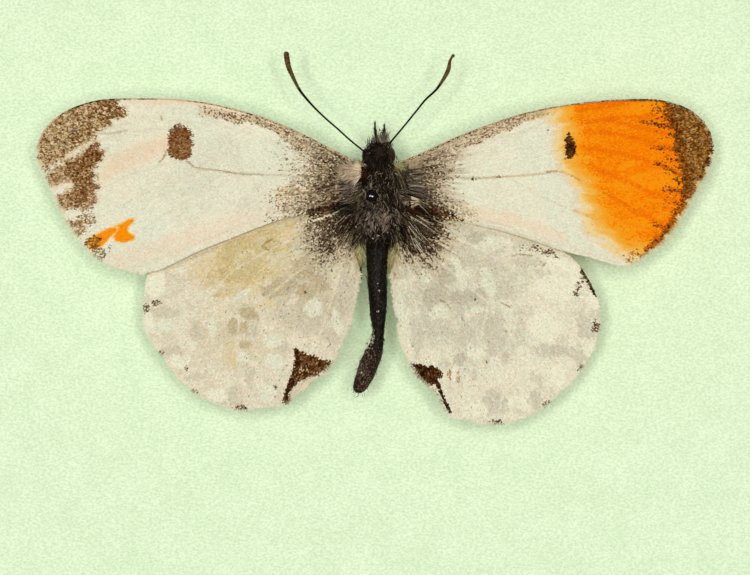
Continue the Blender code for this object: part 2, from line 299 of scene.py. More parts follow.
# The colours that single wing scales come in, as they look under the lights, each from dark to light.
SCALES = finishes({
    **ramp("dust", [(28, 15, 6), (104, 84, 60), (160, 143, 112), (220, 207, 176)], 13),
    **ramp("brown", [(48, 20, 2), (112, 68, 26), (160, 124, 82), (232, 205, 164)], 13),
    **ramp("gold", [(84, 38, 0), (138, 90, 28), (206, 160, 84)], 8),
    **ramp(
        "orange",
        [(196, 92, 2), (241, 116, 0), (252, 140, 0), (246, 158, 20), (242, 182, 80), (240, 214, 156)], 16,
    ),
    **ramp("cream", [(204, 194, 156), (231, 225, 197), (243, 240, 212)], 8),
    **ramp("cool", [(196, 198, 168), (230, 233, 208)], 6),
    **ramp("blush", [(212, 186, 152), (232, 210, 176), (241, 227, 200)], 6),
    **ramp("mauve", [(182, 168, 144), (224, 213, 192)], 6),
    **ramp("olive", [(134, 124, 66), (198, 178, 124), (222, 208, 158)], 6),
}, 0.7, 0.01)
# The colours of its hairs.
HAIRS = finishes({
    **ramp("fur", [(12, 7, 3), (48, 38, 27), (92, 78, 60), (146, 132, 112), (222, 210, 184)], 14),
    **ramp("russet", [(28, 12, 4), (118, 76, 48)], 6),
    **ramp("tuft", [(176, 148, 114), (246, 226, 194)], 5),
    **ramp("sallow", [(92, 82, 44), (204, 196, 140)], 6),
    **ramp("mauve_hair", [(84, 66, 56), (182, 156, 144)], 5),
}, 0.6, 0.05)


def nearest(table, colours):
    """The index of the table's colour nearest to each colour."""
    found = np.empty(len(colours), np.int32)
    for start in range(0, len(colours), 20000):
        part = colours[start:start + 20000]
        found[start:start + 20000] = ((part[:, None, :] - table) ** 2).sum(2).argmin(1)
    return found


# --------------------------------------------------------------------------------------------------
# Pieces


def add_piece(name, mesh, materials, replaces=()):
    for mat in materials:
        mesh.materials.append(mat)
    obj = bpy.data.objects.new(name, mesh)
    bpy.context.scene.collection.objects.link(obj)
    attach(obj, "root")
    if replaces:
        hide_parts(*replaces)
    return obj


def mesh_of(name, points, faces, indices=None):
    """A mesh from the insect's millimetres and faces of one size, with material indices if given."""
    points = (np.asarray(points, float) + np.array([0, INSECT_Y, 0])) * MM
    faces = np.asarray(faces, np.int32)
    mesh = bpy.data.meshes.new(name)
    mesh.vertices.add(len(points))
    mesh.vertices.foreach_set("co", points.ravel())
    mesh.loops.add(faces.size)
    mesh.loops.foreach_set("vertex_index", faces.ravel())
    mesh.polygons.add(len(faces))
    mesh.polygons.foreach_set("loop_start", np.arange(0, faces.size, faces.shape[1], dtype=np.int32))
    mesh.polygons.foreach_set("loop_total", np.full(len(faces), faces.shape[1], np.int32))
    if indices is not None:
        mesh.polygons.foreach_set("material_index", np.asarray(indices, np.int32))
    mesh.polygons.foreach_set("use_smooth", np.full(len(faces), True))
    mesh.update(calc_edges=True)
    mesh.validate()
    return mesh


def add_solid(name, made, mat, replaces=()):
    """A piece of one material from what loft or ball made."""
    return add_piece(name, mesh_of(name, *made[:2]), [mat], replaces)


def round_corners(rows, sides):
    """The four corners of every face between rows of points round a tube."""
    i, j = np.meshgrid(np.arange(rows - 1), np.arange(sides), indexing="ij")
    k = (j + 1) % sides
    return i * sides + j, i * sides + k, (i + 1) * sides + k, (i + 1) * sides + j


def loft(route, sides, shape=None):
    """A closed tube along rows of (x, y, z, wide, high): points, triangles, and each one's share of the run.

    shape(along, around) gives a factor on the radii: along is from 0 to 1, around in radians from the side.
    """
    centre, wide, high = route[:, :3], route[:, 3], route[:, 4]
    tangent = unit(np.gradient(centre, axis=0))
    side = unit(np.cross(tangent, [0.0, 0.0, 1.0]) + [1e-9, 0, 0])
    up = np.cross(side, tangent)
    rows = len(route)
    around = np.linspace(0, 2 * math.pi, sides, endpoint=False)
    along = np.linspace(0, 1, rows)
    factor = np.ones((rows, sides)) if shape is None else shape(along[:, None], around[None, :])
    across = (wide[:, None] * factor * np.cos(around))[..., None] * side[:, None]
    over = (high[:, None] * factor * np.sin(around))[..., None] * up[:, None]
    points = (centre[:, None] + across + over).reshape(-1, 3)
    a, b, c, d = round_corners(rows, sides)
    body = np.stack([np.stack([a, c, b], -1), np.stack([a, d, c], -1)], -2).reshape(-1, 3)
    ring = np.arange(sides)
    turned = (ring + 1) % sides
    first, last = len(points), len(points) + 1
    start = np.stack([np.full(sides, first), ring, turned], 1)
    end = np.stack([np.full(sides, last), turned, ring], 1) + [0, (rows - 1) * sides, (rows - 1) * sides]
    points = np.vstack([points, centre[:1], centre[-1:]])
    faces = np.vstack([body, start, end])
    share = np.concatenate([np.repeat(along[:-1], 2 * sides), np.zeros(sides), np.ones(sides)])
    return points, faces, share


def ball(centre, radii, sides=40, rows=28, shape=None):
    """A closed ellipsoid lofted along y."""
    t = np.sin(np.linspace(-0.999, 0.999, rows) * math.pi / 2)
    r = np.sqrt(1 - t * t)
    zero = np.zeros(rows)
    route = np.stack([centre[0] + zero, centre[1] + t * radii[1], centre[2] + zero, r * radii[0],
                      r * radii[2]], 1)
    return loft(route, sides, shape)


def wrinkles(size, depth, seed):
    """A shape for loft: creases of a size, as a share of its length, all round."""
    def shape(along, around):
        across = 0.4 * (0.5 * np.cos(around) + 0.31 * np.sin(around))
        creases = rough_noise(along / size + 0 * around, across / size + 0 * along, 1.0, seed)
        return 1 + depth * (creases - 0.5)
    return shape


# --------------------------------------------------------------------------------------------------
# Wings: margins and veins, in the photograph's pixels

# Each wing: its CAD node and slot, lift, how uneven its colours are, where along the rear margin its fringe
# starts, and its margins, veins, and the place that its rows of scales turn round.
LEFT_FORE = {
    "node": "left_forewing", "slot": "cream_wing",
    "lift": FORE_LIFT, "seed": 1, "uneven": 6.5, "fringe": 0.56,
    "front": [
        (357, 166), (345, 157), (330, 149.5), (300, 134), (270, 121), (240, 111.5), (205, 103.5),
        (170, 100), (130, 99.5), (100, 101), (75, 108), (57, 118.5), (45, 131), (39.5, 143), (38, 149),
    ],
    "rear": [
        (353, 203), (340, 207), (310, 214), (285, 218.5), (260, 227), (230, 239), (200, 251), (175, 263.5),
        (160, 270), (148, 272), (130, 270), (112, 264), (97, 256), (84, 243.5), (72, 226), (63, 209),
        (53, 191), (47, 175), (40, 161), (38, 155),
    ],
    "pole": (385, 178),
    "veins": [
        [(350, 172), (300, 152), (250, 134), (215, 125), (190, 123)],
        [(190, 123), (140, 117), (100, 118), (58, 122)], [(235, 129), (180, 109), (130, 102)],
        [(150, 118), (100, 130), (42, 140)], [(178, 128), (130, 133), (80, 147), (40, 157)],
        [(180, 141), (130, 150), (80, 168), (48, 182)], [(186, 158), (140, 172), (95, 192), (60, 205)],
        [(205, 171), (160, 187), (110, 213), (73, 230)], [(245, 173), (190, 200), (130, 238), (97, 256)],
        [(350, 180), (300, 175), (245, 173), (205, 171), (186, 159), (179, 143), (178, 127), (190, 123)],
        [(350, 196), (300, 205), (230, 230), (170, 255), (135, 269)],
    ],
}
RIGHT_FORE = {
    "node": "right_forewing", "slot": "orange_tipped_wing",
    "lift": FORE_LIFT, "seed": 2, "uneven": 6.5, "fringe": 0.62,
    "front": [
        (398, 166), (408, 160), (425, 153), (450, 141), (480, 129), (510, 118.5), (540, 110.5),
        (575, 104.5), (610, 101), (645, 100), (665, 102), (685, 108.5), (700, 119.5), (709, 133),
        (712, 146),
    ],
    "rear": [
        (401, 203), (416, 210), (440, 218), (470, 224), (500, 231), (530, 240), (560, 250.5), (590, 258),
        (610, 264), (624, 266), (634, 260.5), (650, 250.5), (666, 236), (678, 218.5), (689, 200),
        (697, 187), (704, 174), (709, 161), (712, 152),
    ],
    "pole": (370, 178),
    "veins": [
        [(405, 172), (450, 155), (500, 138), (540, 129), (565, 126)],
        [(565, 126), (610, 119), (650, 118), (695, 122)], [(520, 133), (570, 112), (620, 104)],
        [(605, 120), (650, 131), (708, 141)], [(572, 131), (620, 135), (670, 148), (708, 158)],
        [(572, 146), (620, 154), (665, 168), (703, 181)], [(566, 160), (610, 175), (655, 195), (692, 206)],
        [(545, 172), (590, 184), (635, 212), (677, 229)], [(505, 177), (560, 206), (605, 224), (655, 254)],
        [(405, 182), (460, 179), (505, 177), (545, 172), (566, 160), (573, 146), (572, 131), (565, 126)],
        [(405, 198), (460, 212), (530, 234), (590, 254), (620, 264)],
    ],
}
LEFT_HIND = {
    "node": "left_hindwing", "slot": "buff_hindwing",
    "lift": -HIND_DROP, "seed": 3, "uneven": 8.5, "fringe": 0.1,
    "front": [
        (352, 212), (320, 205), (280, 208), (240, 222), (205, 238), (175, 252), (158, 262), (149, 273),
        (145, 290), (144, 305), (144, 311),
    ],
    "rear": [
        (356, 235), (360, 262), (357, 290), (351, 315), (342, 341), (333, 360), (320, 374.5), (305, 386),
        (293, 397), (284, 404), (262, 406.5), (240, 408.5), (215, 401.5), (195, 390.5), (175, 371),
        (160, 351), (149, 334), (144, 318),
    ],
    "pole": (378, 205),
    "veins": [
        [(345, 215), (290, 222), (220, 244), (170, 268)], [(345, 222), (290, 240), (238, 268), (222, 284)],
        [(222, 284), (180, 300), (146, 310)], [(222, 284), (190, 318), (160, 350)],
        [(228, 298), (208, 340), (190, 386)], [(240, 306), (238, 355), (240, 406)],
        [(262, 300), (270, 350), (285, 400)],
        [(345, 232), (310, 262), (262, 300), (240, 306), (228, 298), (222, 284)],
        [(350, 235), (335, 290), (318, 340), (304, 382)],
    ],
}
RIGHT_HIND = {
    "node": "right_hindwing", "slot": "pale_hindwing",
    "lift": -HIND_DROP, "seed": 4, "uneven": 8.5, "fringe": 0.1,
    "front": [
        (404, 212), (430, 206), (470, 208), (510, 220), (540, 235), (560, 249), (575, 260.5), (588, 278),
        (597, 298), (600, 313),
    ],
    "rear": [
        (399, 235), (391, 266), (393, 290), (397, 312), (402, 340), (410, 362), (420, 376), (431, 385),
        (439, 395), (448, 413), (470, 420), (495, 423), (520, 418), (545, 404.5), (567, 385), (585, 362),
        (596, 340), (600, 322),
    ],
    "pole": (377, 205),
    "veins": [
        [(410, 215), (465, 222), (530, 244), (583, 272)], [(410, 222), (465, 242), (512, 268), (528, 286)],
        [(528, 286), (565, 302), (599, 325)], [(528, 286), (558, 325), (584, 362)],
        [(522, 300), (540, 350), (547, 402)], [(510, 308), (508, 365), (496, 421)],
        [(488, 302), (474, 360), (452, 412)],
        [(410, 232), (443, 264), (488, 302), (510, 308), (522, 300), (528, 286)],
        [(402, 235), (412, 290), (424, 330), (436, 372)],
    ],
}


def ring_of(wing, count=140):
    """The wing's closed outline in photograph pixels."""
    return np.vstack([through(wing["front"], count), through(wing["rear"], count)[::-1]])


def base_height(x, y):
    """The set wings' middle surface, as the CAD has it."""
    out = np.abs(x - MIDLINE_X)
    height = WING_PLANE + RISE_OUT * out - RISE_LOSS * out * out + FALL_BACK * (y - LEVEL_Y)
    near = np.exp(-(((out - DIP_OUT) / DIP_WIDE) ** 2))
    return height - DIP * near * np.clip((DIP_Y - y) / DIP_LONG, 0, 1)


def relief(wing, x, y):
    """What veins and the slack skin between them add to a wing's surface, in millimetres."""
    c, r = pixel_of(x, y)
    away = np.full(np.shape(x), FAR)
    ridge = np.zeros(np.shape(x))
    for vein in wing["veins"]:
        d, along = path_distance(c, r, through(vein, VEIN_POINTS))
        ridge = np.maximum(ridge, (VEIN_HIGH - VEIN_LOSS * along) * np.exp(-((d / VEIN_WIDE) ** 2)))
        away = np.minimum(away, d)
    slack = SLACK * (1 - np.exp(-((away / SLACK_WIDE) ** 2)))
    return ridge - slack + RIPPLE * (noise(x, y, RIPPLE_SIZE, wing["seed"]) - 0.5)


def surface(wing, x, y):
    """Height of the wing's middle surface with its relief."""
    return base_height(x, y) + wing["lift"] + relief(wing, x, y)


# --------------------------------------------------------------------------------------------------
# Markings: a painter gives the seen colour of every scale from its pixel place


class Paint:
    """The seen colours of scales at the pixel places c, r. Amounts and shares run from 0 to 1."""

    def __init__(self, rng, c, r, wing, body, streak=8.0):
        self.rng, self.c, self.r = rng, c, r
        self.seed = 1000 * wing["seed"]
        pole_c, pole_r = wing["pole"]
        out = np.hypot(c - pole_c, r - pole_r)
        turn = np.arctan2(r - pole_r, np.abs(c - pole_c))
        self.rays = noise(60 * turn, out / streak, 1.0, self.seed)  # streaks out from the wing's root
        near = 0.6 * soft(130, 80, out)
        self.grain = self.cloud(1.7) * (1 - near) + self.rays * near
        self.colours = np.tile(np.array(body, float), (len(c), 1)) + 14 * self.sway(5)[:, None]

    def cloud(self, size):
        """Noise from 0 to 1 with patches this many pixels across, new at each call."""
        self.seed += 10
        return rough_noise(self.c, self.r, size, self.seed)

    def sway(self, size):
        """The same noise from -0.5 to 0.5."""
        return self.cloud(size) - 0.5

    def off(self, route):
        """Pixels from a line of pixel places."""
        return path_distance(self.c, self.r, route)[0]

    def inside(self, ring):
        """Pixels inside an outline, and minus the pixels outside it."""
        return depth_in(self.c, self.r, ring)

    def near(self, route, full, none):
        """1 within `full` pixels of a line of pixel places, 0 beyond `none`."""
        return soft(none, full, self.off(route))

    def blot(self, middle, wide, high, turn=0.0, ragged=0.0):
        """1 inside an oval, fading over its rim."""
        rim = oval(self.c, self.r, middle, (wide, high), turn)
        return soft(1.25, 0.6, rim + ragged * self.sway(3))

    def patch(self, ring, fade, scatter, size=5.0):
        """How likely a scale is to belong to a marking with a worn, scattered edge."""
        return soft(-fade, fade, self.inside(ring) + 2 * scatter * self.sway(size))

    def lay(self, tone, amount):
        amount = np.broadcast_to(amount, len(self.c))[:, None]
        self.colours = self.colours + (np.asarray(tone, float) - self.colours) * amount

    def speckle(self, share, dark, light, middle, close=4.0):
        """Gives a share of the scales colours from dark to light, on average `middle` of the way."""
        hit = self.rng.random(len(self.c)) < share
        t = self.rng.beta(close * middle, close * (1 - middle), hit.sum()) + 1.2 * (self.grain[hit] - 0.5)
        t = np.clip(t, 0, 1)[:, None]
        self.colours[hit] = np.asarray(dark) * (1 - t) + np.asarray(light) * t

    def dust(self, reach, layers):
        """Speckles that grow with the reach, as (share, none below, full above, *speckle's values)."""
        for share, none, full, *tones in layers:
            self.speckle(share * soft(none, full, reach), *tones)

    def drift(self, tones, size=38.0, amount=0.8):
        """Broad soft changes of the ground colour."""
        for tone in tones:
            self.lay(tone, amount * soft(0.48, 0.72, self.cloud(size)))

    def clouds(self, groups):
        """Blotches with ragged edges, in groups of one colour."""
        for tone, places in groups:
            depth = np.full(len(self.c), -9.0)
            for c, r, wide, high, turn in places:
                depth = np.maximum(depth, 1 - oval(self.c, self.r, (c, r), (wide, high), turn))
            depth = depth + 1.3 * self.sway(10) + 0.5 * self.sway(3)
            self.lay(tone, 0.85 * soft(-0.1, 0.14, depth))

    def veins(self, routes, tone, amount, wide=1.5):
        for route in routes:
            self.lay(tone, amount * self.near(through(route, VEIN_POINTS), 0.3, wide))

    def marks(self, places, dark=(70, 52, 34), light=(186, 164, 134)):
        """Small worn marks, as (column, row, half width, half height)."""
        for c, r, wide, high in places:
            self.speckle(0.85 * self.blot((c, r), wide, high, 0, 0.9), dark, light, 0.35)

    def notches(self, places, tone):
        for c, r, wide, high in places:
            self.lay(tone, 0.85 * self.blot((c, r), wide, high, 0, 0.5))


# Routes and outlines of the left forewing, and ovals as (middle, half width, half height, turn, raggedness).
LEFT_APEX = [
    (131, 96), (122, 102), (120, 106), (127, 110), (129, 116), (121, 119), (113, 121), (113, 125),
    (103, 128), (98, 132), (97, 137), (93, 140.5), (84, 146.5), (73, 152), (63, 160), (55, 167), (46, 171),
    (36, 160), (33, 140), (45, 120), (70, 102), (100, 95),
]
LEFT_LOBES = [
    [
        (98, 140.5), (101, 147), (105, 153), (103, 158), (99, 164), (95, 170), (98, 176), (95, 181),
        (101, 186), (97, 191), (101, 198), (94, 206), (84, 208), (70, 209), (61, 210), (56, 198), (66, 192),
        (74, 189), (75, 184), (68, 180), (60, 186), (50, 188), (42, 177), (54, 171.5), (64, 165), (73, 158),
        (84, 152), (93, 146),
    ],
    [(80, 208), (96, 206), (99, 222), (92, 226), (87, 232), (80, 238), (68, 228), (66, 218), (78, 219)],
    [(95, 250), (108, 248), (112, 247), (106, 256), (103, 262), (92, 256)],
]
LEFT_LOBE_CORE = [(97, 146), (96, 158), (76, 170), (90, 181), (80, 197)]
LEFT_SPOT = [
    (171, 131), (175, 126.5), (182, 126), (189, 127), (192.5, 132), (193, 145), (192, 156), (187, 160),
    (176, 160), (171, 155), (170, 143),
]
LEFT_ORANGE = [
    [
        (111, 230), (118, 225.5), (125, 223), (130, 219.5), (136, 219), (133.5, 223), (130, 226),
        (129, 231), (132, 234), (136.5, 236), (135, 239.5), (129, 241), (123, 242), (118, 240.5),
        (115.5, 237), (114, 233),
    ],
    [
        (90, 239), (99, 234), (106, 230.5), (113, 227.5), (119, 227), (117, 232), (112, 236), (108, 241),
        (103, 246), (92, 248),
    ],
]
LEFT_ORANGE_END = [(85, 241), (92, 236.5), (98, 235.5), (103, 238), (102, 243), (99, 248), (91, 250)]
LEFT_STREAK = [
    (102, 178), (110, 160), (128, 150), (150, 141), (172, 136), (174, 150), (160, 158), (140, 163),
    (122, 172), (106, 184),
]
LEFT_SEAM = [(312, 212), (328, 208.5), (346, 202)]  # dark scales where the left wings overlap
LEFT_NOTCHES = [
    (39, 152, 3, 4), (42, 164, 3, 4), (50, 188, 4, 3), (57, 200, 3, 3), (64, 212, 4, 4), (77, 229, 3, 3),
]
LEFT_CREAM = [(172, 240), (238, 219)]
LEFT_BUFF = [(120, 258), (170, 248), (240, 224), (300, 200), (330, 190)]
LEFT_VEIL = (240, 174), 78, 40, 8
LEFT_FOLD = [(188, 161), (197, 168), (222, 171), (240, 174), (270, 175), (300, 176)]
LEFT_TIP_CREASE = [(102, 134), (112, 134), (128, 131)]
LEFT_SPOT_CREASES = [[(169, 150), (166, 157), (162, 162)], [(163, 118), (164, 120)]]
LEFT_HINGE = (347, 173), 9, 10, 0, 0.8
LEFT_GILT = (289, 192), 22, 8, -14, 0.8
LEFT_APEX_BLOTS = [((86, 133), 20, 15, -25), ((112, 110), 18, 12)]
LEFT_PALE_GAP = [(101, 141), (88, 144), (76, 151), (66, 160)]
LEFT_PALE_RIM = [(54, 190), (62, 187), (72, 185)]
LEFT_SPLASH_END = (79, 229), 7, 6, -30
LEFT_DUST = [
    (0.65, 262, 308, (104, 82, 54), (228, 212, 178), 0.56),
    (0.95, 292, 322, (38, 22, 8), (200, 176, 142), 0.5),
    (0.8, 316, 340, (28, 14, 4), (204, 180, 148), 0.44, 2.4),
]


def left_fore_ground(p):
    """Cream, with warmer runs and fine folds."""
    p.drift([(228, 230, 205), (238, 233, 208), (235, 226, 200)])
    p.lay((240, 213, 176), 0.85 * p.patch(LEFT_STREAK, 7, 4, 14))
    p.lay((241, 224, 196), 0.7 * p.near(LEFT_CREAM, 4, 16))
    p.lay((235, 217, 188), 0.7 * soft(16, 3, p.off(LEFT_BUFF) + 8 * p.sway(15)))
    p.lay((212, 210, 186), 0.24 * p.blot(*LEFT_VEIL))
    p.veins(LEFT_FORE["veins"], (214, 207, 178), 0.3)
    p.lay((152, 118, 78), 0.6 * p.near(LEFT_FOLD, 0.2, 1.2) * soft(310, 230, p.c))
    p.veins([LEFT_TIP_CREASE], (176, 166, 134), 0.6, 2.0)
    p.veins(LEFT_SPOT_CREASES, (140, 104, 66), 0.6, 1.4)


def left_fore_edge(p):
    """The front edge: cream, then a speckled band that widens towards the body."""
    edge = p.off(through(LEFT_FORE["front"], EDGE_POINTS))
    p.lay((243, 221, 180), 0.8 * soft(8, 3, edge) * soft(110, 150, p.c))
    wide = 9 + 7 * soft(268, 300, p.c) + 4 * soft(250, 235, p.c)
    band = soft(194, 212, p.c) * soft(1.15, 0.8, (edge + 4 * p.sway(6)) / wide)
    band = band * soft(0, 3, edge - 2 * soft(258, 240, p.c))
    p.lay((216, 188, 148), 0.7 * band)
    p.speckle(0.62 * band * (1 - 0.3 * soft(246, 236, p.c)), (84, 54, 28), (228, 206, 170), 0.42)


def left_fore_base(p):
    """The dusted base, thinning out away from the body."""
    reach = p.c + 24 * (p.rays - 0.5) + 18 * p.sway(16)
    reach = reach + 9 * soft(178, 194, p.r) - 5 - 8 * soft(176, 156, p.r)
    p.lay((206, 187, 152), 0.8 * soft(278, 312, reach))
    p.dust(reach, LEFT_DUST)
    p.lay((216, 190, 156), 0.9 * p.blot(*LEFT_HINGE))
    p.speckle(0.55 * p.blot(*LEFT_GILT), (128, 98, 62), (246, 226, 182), 0.66)
    p.speckle(0.95 * p.near(LEFT_SEAM, 3, 5), (26, 12, 3), (196, 160, 108), 0.28)


def left_fore_tip(p):
    """The mottled tip, and the lobes along the outer edge."""
    apex = p.patch(LEFT_APEX, 3, 4)
    p.lay((196, 168, 124), 0.8 * apex)
    p.speckle(0.94 * apex, (78, 44, 4), (236, 210, 164), 0.52)
    p.speckle(0.25 * apex * p.blot(*LEFT_APEX_BLOTS[0]), (72, 38, 2), (190, 150, 98), 0.45)
    p.speckle(0.45 * apex * p.blot(*LEFT_APEX_BLOTS[1]), (72, 40, 2), (176, 138, 84), 0.42)
    worn = soft(0.45, 0.7, p.cloud(13))
    p.speckle(0.5 * apex * worn * soft(100, 80, p.c), (106, 78, 52), (204, 174, 144), 0.5)
    first = p.patch(LEFT_LOBES[0], 3, 4, 4)
    p.lay((190, 154, 112), 0.8 * first)
    p.speckle(0.9 * first, (98, 62, 26), (230, 200, 162), 0.45)
    core = soft(15, 6, p.off(LEFT_LOBE_CORE) + 5 * p.cloud(6))
    p.speckle(0.88 * first * core, (80, 42, 6), (194, 152, 106), 0.38)
    second = p.patch(LEFT_LOBES[1], 2.5, 3, 4) * (0.45 + 0.5 * soft(212, 224, p.r))
    p.speckle(0.9 * second, (112, 78, 42), (216, 188, 150), 0.48)
    p.speckle(0.8 * p.patch(LEFT_LOBES[2], 2, 3, 4), (92, 64, 40), (214, 184, 148), 0.45)
    p.lay((232, 212, 170), 0.8 * p.near(LEFT_PALE_GAP, 0.6, 2.0))
    p.lay((236, 222, 190), 0.85 * p.near(LEFT_PALE_RIM, 2, 4))
    p.notches(LEFT_NOTCHES, (226, 212, 170))


def paint_left_fore(rng, c, r):
    p = Paint(rng, c, r, LEFT_FORE, (229, 226, 198), 6.0)
    left_fore_ground(p)
    left_fore_edge(p)
    left_fore_base(p)
    left_fore_tip(p)
    # The discal spot, a little frayed along the rows of scales.
    spot = p.inside(LEFT_SPOT) + 3.5 * (p.rays - 0.5) + 4.5 * p.sway(1.6)
    p.speckle(soft(-1.6, 1.2, spot), (86, 40, 10), (184, 142, 96), 0.42)
    # The one splash of the other side's orange.
    for ring in LEFT_ORANGE:
        p.lay((243, 206, 140), soft(-2.2, -0.4, p.inside(ring)))
        p.lay((246, 146, 6), soft(-0.7, 0.6, p.inside(ring)))
    p.speckle(0.9 * p.patch(LEFT_ORANGE_END, 2.5, 2.5, 4), (104, 62, 2), (236, 168, 40), 0.42)
    p.speckle(0.5 * p.blot(*LEFT_SPLASH_END), (112, 80, 44), (216, 190, 148), 0.5)
    return p.colours


# The right forewing.
RIGHT_ORANGE_EDGE = [
    (548, 50), (550, 96), (554, 110), (560, 124), (562, 138), (562, 152), (565, 164), (571, 176),
    (580, 189), (585, 202), (589, 215), (597, 227), (609, 239), (620, 247), (634, 254), (654, 266),
    (740, 250), (770, 160), (740, 50),
]
RIGHT_MARGIN = [
    (658, 96), (661, 110), (666, 121), (671, 131), (674, 141), (675, 152), (676, 160), (679, 170),
    (682, 182), (677, 190), (680, 198), (675, 208), (669, 217), (663, 227), (654, 237), (645, 246),
    (640, 258), (668, 248), (692, 216), (714, 182), (726, 140), (700, 94),
]
RIGHT_STREAKS = [
    [(638, 122), (655, 125), (676, 130)], [(650, 148), (665, 149), (678, 151)],
    [(655, 163), (668, 170), (684, 178)], [(662, 190), (676, 190), (684, 195)],
    [(650, 223), (658, 226), (666, 230)],
]
RIGHT_NOTCHES = [
    (683, 106.5, 4, 2), (697, 116.5, 3, 2.5), (705, 127.5, 2.2, 3.5), (711, 141, 2, 4), (709, 156, 2, 3),
    (705, 169, 2.2, 3.5), (697, 184, 3, 4), (686, 201, 2.5, 2.5), (677, 217, 2.5, 3), (665, 236, 2.5, 2.5),
    (650, 250, 3, 2),
]
RIGHT_SPOT = [
    (567, 133), (571, 138), (574, 145), (574, 153), (571, 159), (565.5, 159), (563.5, 153), (563.5, 143),
]
RIGHT_WEDGE = [(416, 206), (430, 206), (448, 210), (461, 219), (455, 228), (438, 221), (416, 211)]
RIGHT_BUFF = [(430, 205), (470, 211), (510, 219), (560, 236)]
RIGHT_CELL_CREASE = [(462, 179), (500, 177), (530, 175), (556, 171)]
RIGHT_TIP_CREASES = [
    [(545, 172), (558, 171.5), (568, 175), (580, 181)],
    [(572, 210), (584, 215), (596, 220)],
]
RIGHT_FIELD_MARKS = [(498, 177, 5, 1), (547, 130, 1.6, 1.2), (472, 179, 3, 1)]
RIGHT_HINGE = [((405, 163), 12, 7, -20), ((414, 167), 9, 6, -20)]
RIGHT_GILT = [((469, 214), 11, 7, 20), ((452, 222), 13, 5, 20, 0.8)]
RIGHT_RIM = [(672, 102), (690, 110), (703, 121), (711, 138), (709, 155), (700, 175), (686, 197)]
RIGHT_TORNUS = (631, 256), 9, 6, -30, 0.8
RIGHT_DUST = [
    (0.6, 468, 444, (104, 84, 58), (226, 210, 178), 0.56),
    (0.97, 456, 430, (40, 26, 12), (200, 180, 150), 0.5),
]


def right_fore_ground(p):
    """Cream, with a warmer run near the hind edge, and painted shade right along it where it lies over the
    hindwing.
    """
    p.drift([(228, 229, 202), (236, 231, 203), (232, 223, 197)])
    # Painted shade: a darker band along the hind edge, where this wing lies over the hindwing.
    rear = p.off(through(RIGHT_FORE["rear"][:10], 40))
    p.lay((214, 200, 168), 0.6 * soft(6, 1, rear) * soft(570, 540, p.c))
    p.lay((239, 218, 184), 0.7 * soft(10, 2, p.off(RIGHT_BUFF) + 5 * p.sway(12)))
    p.veins(RIGHT_FORE["veins"], (214, 205, 172), 0.3)
    p.veins([RIGHT_CELL_CREASE], (182, 160, 110), 0.55, 1.1)
    p.marks(RIGHT_FIELD_MARKS, light=(200, 180, 140))


def right_fore_orange(p):
    """The orange tip, through yellow at its inner edge."""
    depth = p.inside(RIGHT_ORANGE_EDGE) + 9 * p.sway(12) + 9 * (p.rays - 0.5)
    p.lay((240, 214, 144), 0.9 * soft(-15, -4, depth))
    p.lay((246, 190, 76), soft(-5, 4, depth + 7 * (p.grain - 0.5)))
    p.lay((246, 158, 30), soft(3, 14, depth + 9 * (p.grain - 0.5)))
    p.speckle(soft(10, 26, depth), (245, 120, 2), (254, 150, 14), 0.45)
    p.lay((248, 122, 2), 0.4 * soft(40, 84, depth))
    bands = noise(p.c / 26, (p.r + 0.25 * p.c) / 7, 1.0, 35)
    p.lay((253, 154, 20), 0.55 * soft(0.5, 0.8, bands) * soft(8, 20, depth))
    for route in RIGHT_FORE["veins"][1:8]:
        p.lay((236, 98, 0), 0.42 * p.near(through(route, VEIN_POINTS), 0.8, 3.6) * soft(10, 22, depth))
    p.veins(RIGHT_TIP_CREASES[:1], (184, 128, 50), 0.5, 1.2)
    p.veins(RIGHT_TIP_CREASES[1:], (200, 144, 62), 0.4, 1.2)


def right_fore_edge(p, edge):
    """The front edge."""
    wide = 12 + 2 * soft(500, 430, p.c) - 4 * soft(506, 524, p.c)
    band = soft(558, 536, p.c) * soft(1.15, 0.8, (edge + 5 * p.sway(6)) / wide)
    p.lay((216, 190, 150), 0.75 * band)
    p.speckle(band * (0.38 + 0.22 * soft(460, 475, p.c)), (90, 60, 32), (230, 206, 168), 0.44)
    p.lay((222, 190, 120), 0.7 * soft(12, 3, edge) * soft(575, 545, p.c) * soft(510, 545, p.c))


def right_fore_base(p, edge):
    """The dusted base, in streaks, with the darker wedge by the hind edge."""
    reach = p.c - 28 * (p.rays - 0.5) - 12 * p.sway(16) + 9 * soft(202, 194, p.r) * soft(178, 188, p.r)
    p.lay((198, 182, 148), 0.85 * soft(474, 446, reach))
    p.dust(reach, RIGHT_DUST)
    p.speckle(0.36 * soft(452, 432, reach) * soft(176, 188, p.r), (30, 16, 6), (150, 128, 104), 0.42)
    p.lay((214, 192, 150), 0.55 * soft(7, 3, edge) * soft(408, 418, p.c) * soft(462, 448, p.c))
    p.lay((180, 176, 118), 0.8 * p.blot(*RIGHT_HINGE[0]))
    p.lay((150, 142, 98), 0.6 * p.blot(*RIGHT_HINGE[1]))
    p.speckle(p.patch(RIGHT_WEDGE, 3, 4, 4), (34, 16, 6), (160, 120, 80), 0.34)
    p.speckle(0.45 * p.blot(*RIGHT_GILT[0]), (150, 122, 86), (236, 216, 180), 0.55)
    p.speckle(0.55 * p.blot(*RIGHT_GILT[1]), (160, 120, 70), (246, 222, 174), 0.6)


